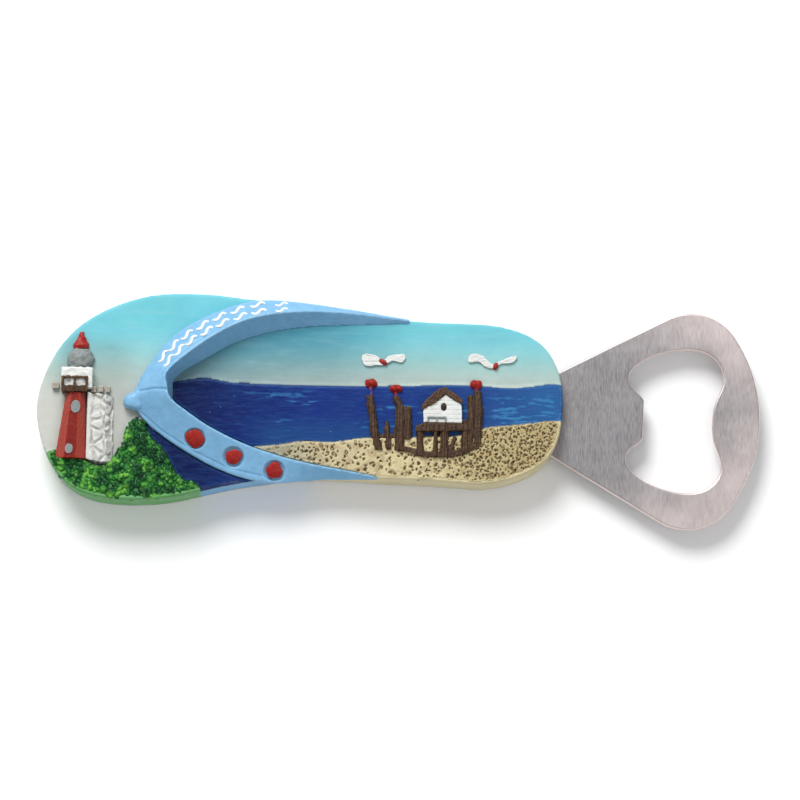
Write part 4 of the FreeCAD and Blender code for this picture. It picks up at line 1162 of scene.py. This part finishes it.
# Piece, the CAD nodes it is cast from, cell, softening, surface, relief depth, coat, slot.
CARVINGS = (
    ("tower", ("lighthouse_tower",), 0.14, 2, plain, 0.08, "tower", "red_paint"),
    ("tower_openings", ("tower_window", "tower_door"), 0.09, 2, plain, 0.05, "grey", "grey_paint"),
    ("lantern", ("lantern_room",), 0.13, 2, crumpled, 0.09, "white", "white_paint"),
    ("railing", ("gallery_railing",), 0.1, 1, knotted, 0.07, "wood", "wood_paint"),
    ("dome", ("lighthouse_dome",), 0.13, 2, crumpled, 0.1, "grey", "grey_paint"),
    ("finial", ("lighthouse_finial",), 0.12, 2, crumpled, 0.1, "red", "red_paint"),
    ("annex", ("keepers_annex",), 0.13, 1, quoined, 0.14, "stone", "stone_paint"),
    ("battlements", ("annex_battlements",), 0.11, 2, plain, 0.07, "cream_stone", "stone_paint"),
    ("gulls", ("gull_left", "gull_right"), 0.09, 2, feathered, 0.06, "white", "white_paint"),
    ("gull_breasts", ("gull_bodies",), 0.08, 2, plain, 0.05, "red", "red_paint"),
    ("hut", ("hut_walls",), 0.12, 2, boarded, 0.07, "white", "white_paint"),
    ("roof", ("hut_roof",), 0.11, 1, thatched, 0.08, "roof", "wood_paint"),
    ("hut_opening", ("hut_window",), 0.08, 2, plain, 0.05, "dark", "wood_paint"),
    # The hut's rail is white relief; its grey paint is painted shade.
    ("hut_rail", ("hut_railing",), 0.06, 1, plain, 0.05, "grey", "wood_paint"),
    ("deck_and_stilts", ("hut_deck", "hut_stilts"), 0.13, 2, knotted, 0.09, "wood", "wood_paint"),
    ("piles", ("pile_left", "pile_middle", "pile_right"), 0.14, 2, knotted, 0.1, "wood", "wood_paint"),
    ("lamps", ("pile_caps",), 0.12, 10, crumpled, 0.1, "lamp", "red_paint"),
)
LAMP_HEIGHT = 1.7                   # of the red part, down from the top
LAMP_GAPS = (15.6, 25.0)            # x between the three lamps


def tower_lit_and_shaded_colours(mesh):
    """Darker middle facet, a painted shade, and lighter facets at the sides, painted highlights."""
    side = smooth_step(0.25, 0.5, np.abs(read(mesh, "normal")[:, 0]))
    return blended([(0.0, paint(122, 28, 19)), (1.0, paint(168, 74, 62))], side)


def lamp_colours(mesh):
    """Red lamps on necks that are painted with the sea."""
    points = read(mesh)
    lamp = np.searchsorted(LAMP_GAPS, points[:, 0])
    top = np.array([points[lamp == number, 1].max() for number in range(3)])
    return blended([(0.0, paint(158, 36, 30)), (1.0, paint(38, 64, 134))],
                   smooth_step(LAMP_HEIGHT, LAMP_HEIGHT + 0.2, top[lamp] - points[:, 1]))


COLOURED = {"tower": tower_lit_and_shaded_colours, "lamps": lamp_colours}


def make_carvings():
    for name, nodes, grain, softening, surface, depth, finish, slot in CARVINGS:
        mesh = cast(merged_copy(*nodes), grain, softening)
        if name in COLOURED:
            store(mesh, "paint", COLOURED[name](mesh))
        push(mesh, surface(read(mesh)))
        mark_relief(mesh, 8, depth)
        finished(name, mesh, coats[finish], nodes)


# ---- build ----------------------------------------------------------------------------------------

make_body()
make_relief()
make_strap()
make_wave_marks()
make_dots()
make_carvings()
for node, material in (("opener_blade", steel), ("magnet_discs", ferrite)):
    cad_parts[node].data.materials.clear()
    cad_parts[node].data.materials.append(material)


# ---- studio ---------------------------------------------------------------------------------------

def studio_floor():
    mesh = bpy.data.meshes.new("floor")
    half = 2.0
    mesh.from_pydata([(-half, -half, 0), (half, -half, 0), (half, half, 0), (-half, half, 0)], [],
                     [(0, 1, 2, 3)])
    floor = new_object("floor", mesh)
    matt, _, shader = new_material("pale floor")
    shader.inputs["Base Color"].default_value = (0.94, 0.94, 0.94, 1.0)
    shader.inputs["Roughness"].default_value = 0.9
    shader.inputs["Specular IOR Level"].default_value = 0.1
    mesh.materials.append(matt)
    floor.location.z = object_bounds()[0].z - 0.0001


def area_light(name, direction, distance, size, power):
    """A soft light that looks at the middle of the object from a direction."""
    lamp = bpy.data.lights.new(name, "AREA")
    lamp.shape = "DISK"
    lamp.size = size
    lamp.energy = power
    lamp_object = new_object(name, lamp)
    away = Vector(direction).normalized()
    middle = (Vector(cad_bounds[0]) + Vector(cad_bounds[1])) / 2
    lamp_object.location = middle + away * distance
    lamp_object.rotation_mode = "QUATERNION"
    lamp_object.rotation_quaternion = away.to_track_quat("Z", "Y")


def studio_world(strength):
    world = bpy.data.worlds.new("studio")
    world.use_nodes = True
    background = world.node_tree.nodes["Background"]
    background.inputs["Color"].default_value = (0.97, 0.985, 1.0, 1.0)
    background.inputs["Strength"].default_value = strength
    bpy.context.scene.world = world


CAMERA_TILT = math.radians(9.0)         # the camera leans this far from straight above
CAMERA_ROLL = math.radians(1.1)
CAMERA_DISTANCE = 0.8
CAMERA_FIELD = 0.150                    # width of the view at the target
CAMERA_TARGET = (0.01882, 0.001449, 0.006)   # along, across the view, height


def studio_camera():
    lean = math.sin(CAMERA_TILT), math.cos(CAMERA_TILT)
    back = Vector((0, -lean[0], lean[1]))
    up = Vector((0, lean[1], lean[0]))
    right = Vector((1, 0, 0))
    along, across, height = CAMERA_TARGET
    target = Vector((along, (across - height * lean[0]) / lean[1], height))
    turned_right = right * math.cos(CAMERA_ROLL) + up * math.sin(CAMERA_ROLL)
    turned_up = up * math.cos(CAMERA_ROLL) - right * math.sin(CAMERA_ROLL)
    camera = bpy.data.cameras.new("camera")
    camera.sensor_width = 36
    camera.lens = camera.sensor_width * CAMERA_DISTANCE / CAMERA_FIELD
    camera.clip_start, camera.clip_end = 0.01, 10
    camera_object = new_object("camera", camera)
    matrix = Matrix((turned_right, turned_up, back)).transposed().to_4x4()
    matrix.translation = target + back * CAMERA_DISTANCE
    camera_object.matrix_world = matrix
    bpy.context.scene.camera = camera_object


studio_floor()
area_light("key", (-0.3, 0.75, 0.85), 0.7, 0.4, 5.0)
area_light("fill", (0.6, -0.5, 1.0), 0.9, 0.8, 1.4)
studio_world(0.46)
studio_camera()
bpy.context.scene.view_settings.view_transform = "Standard"
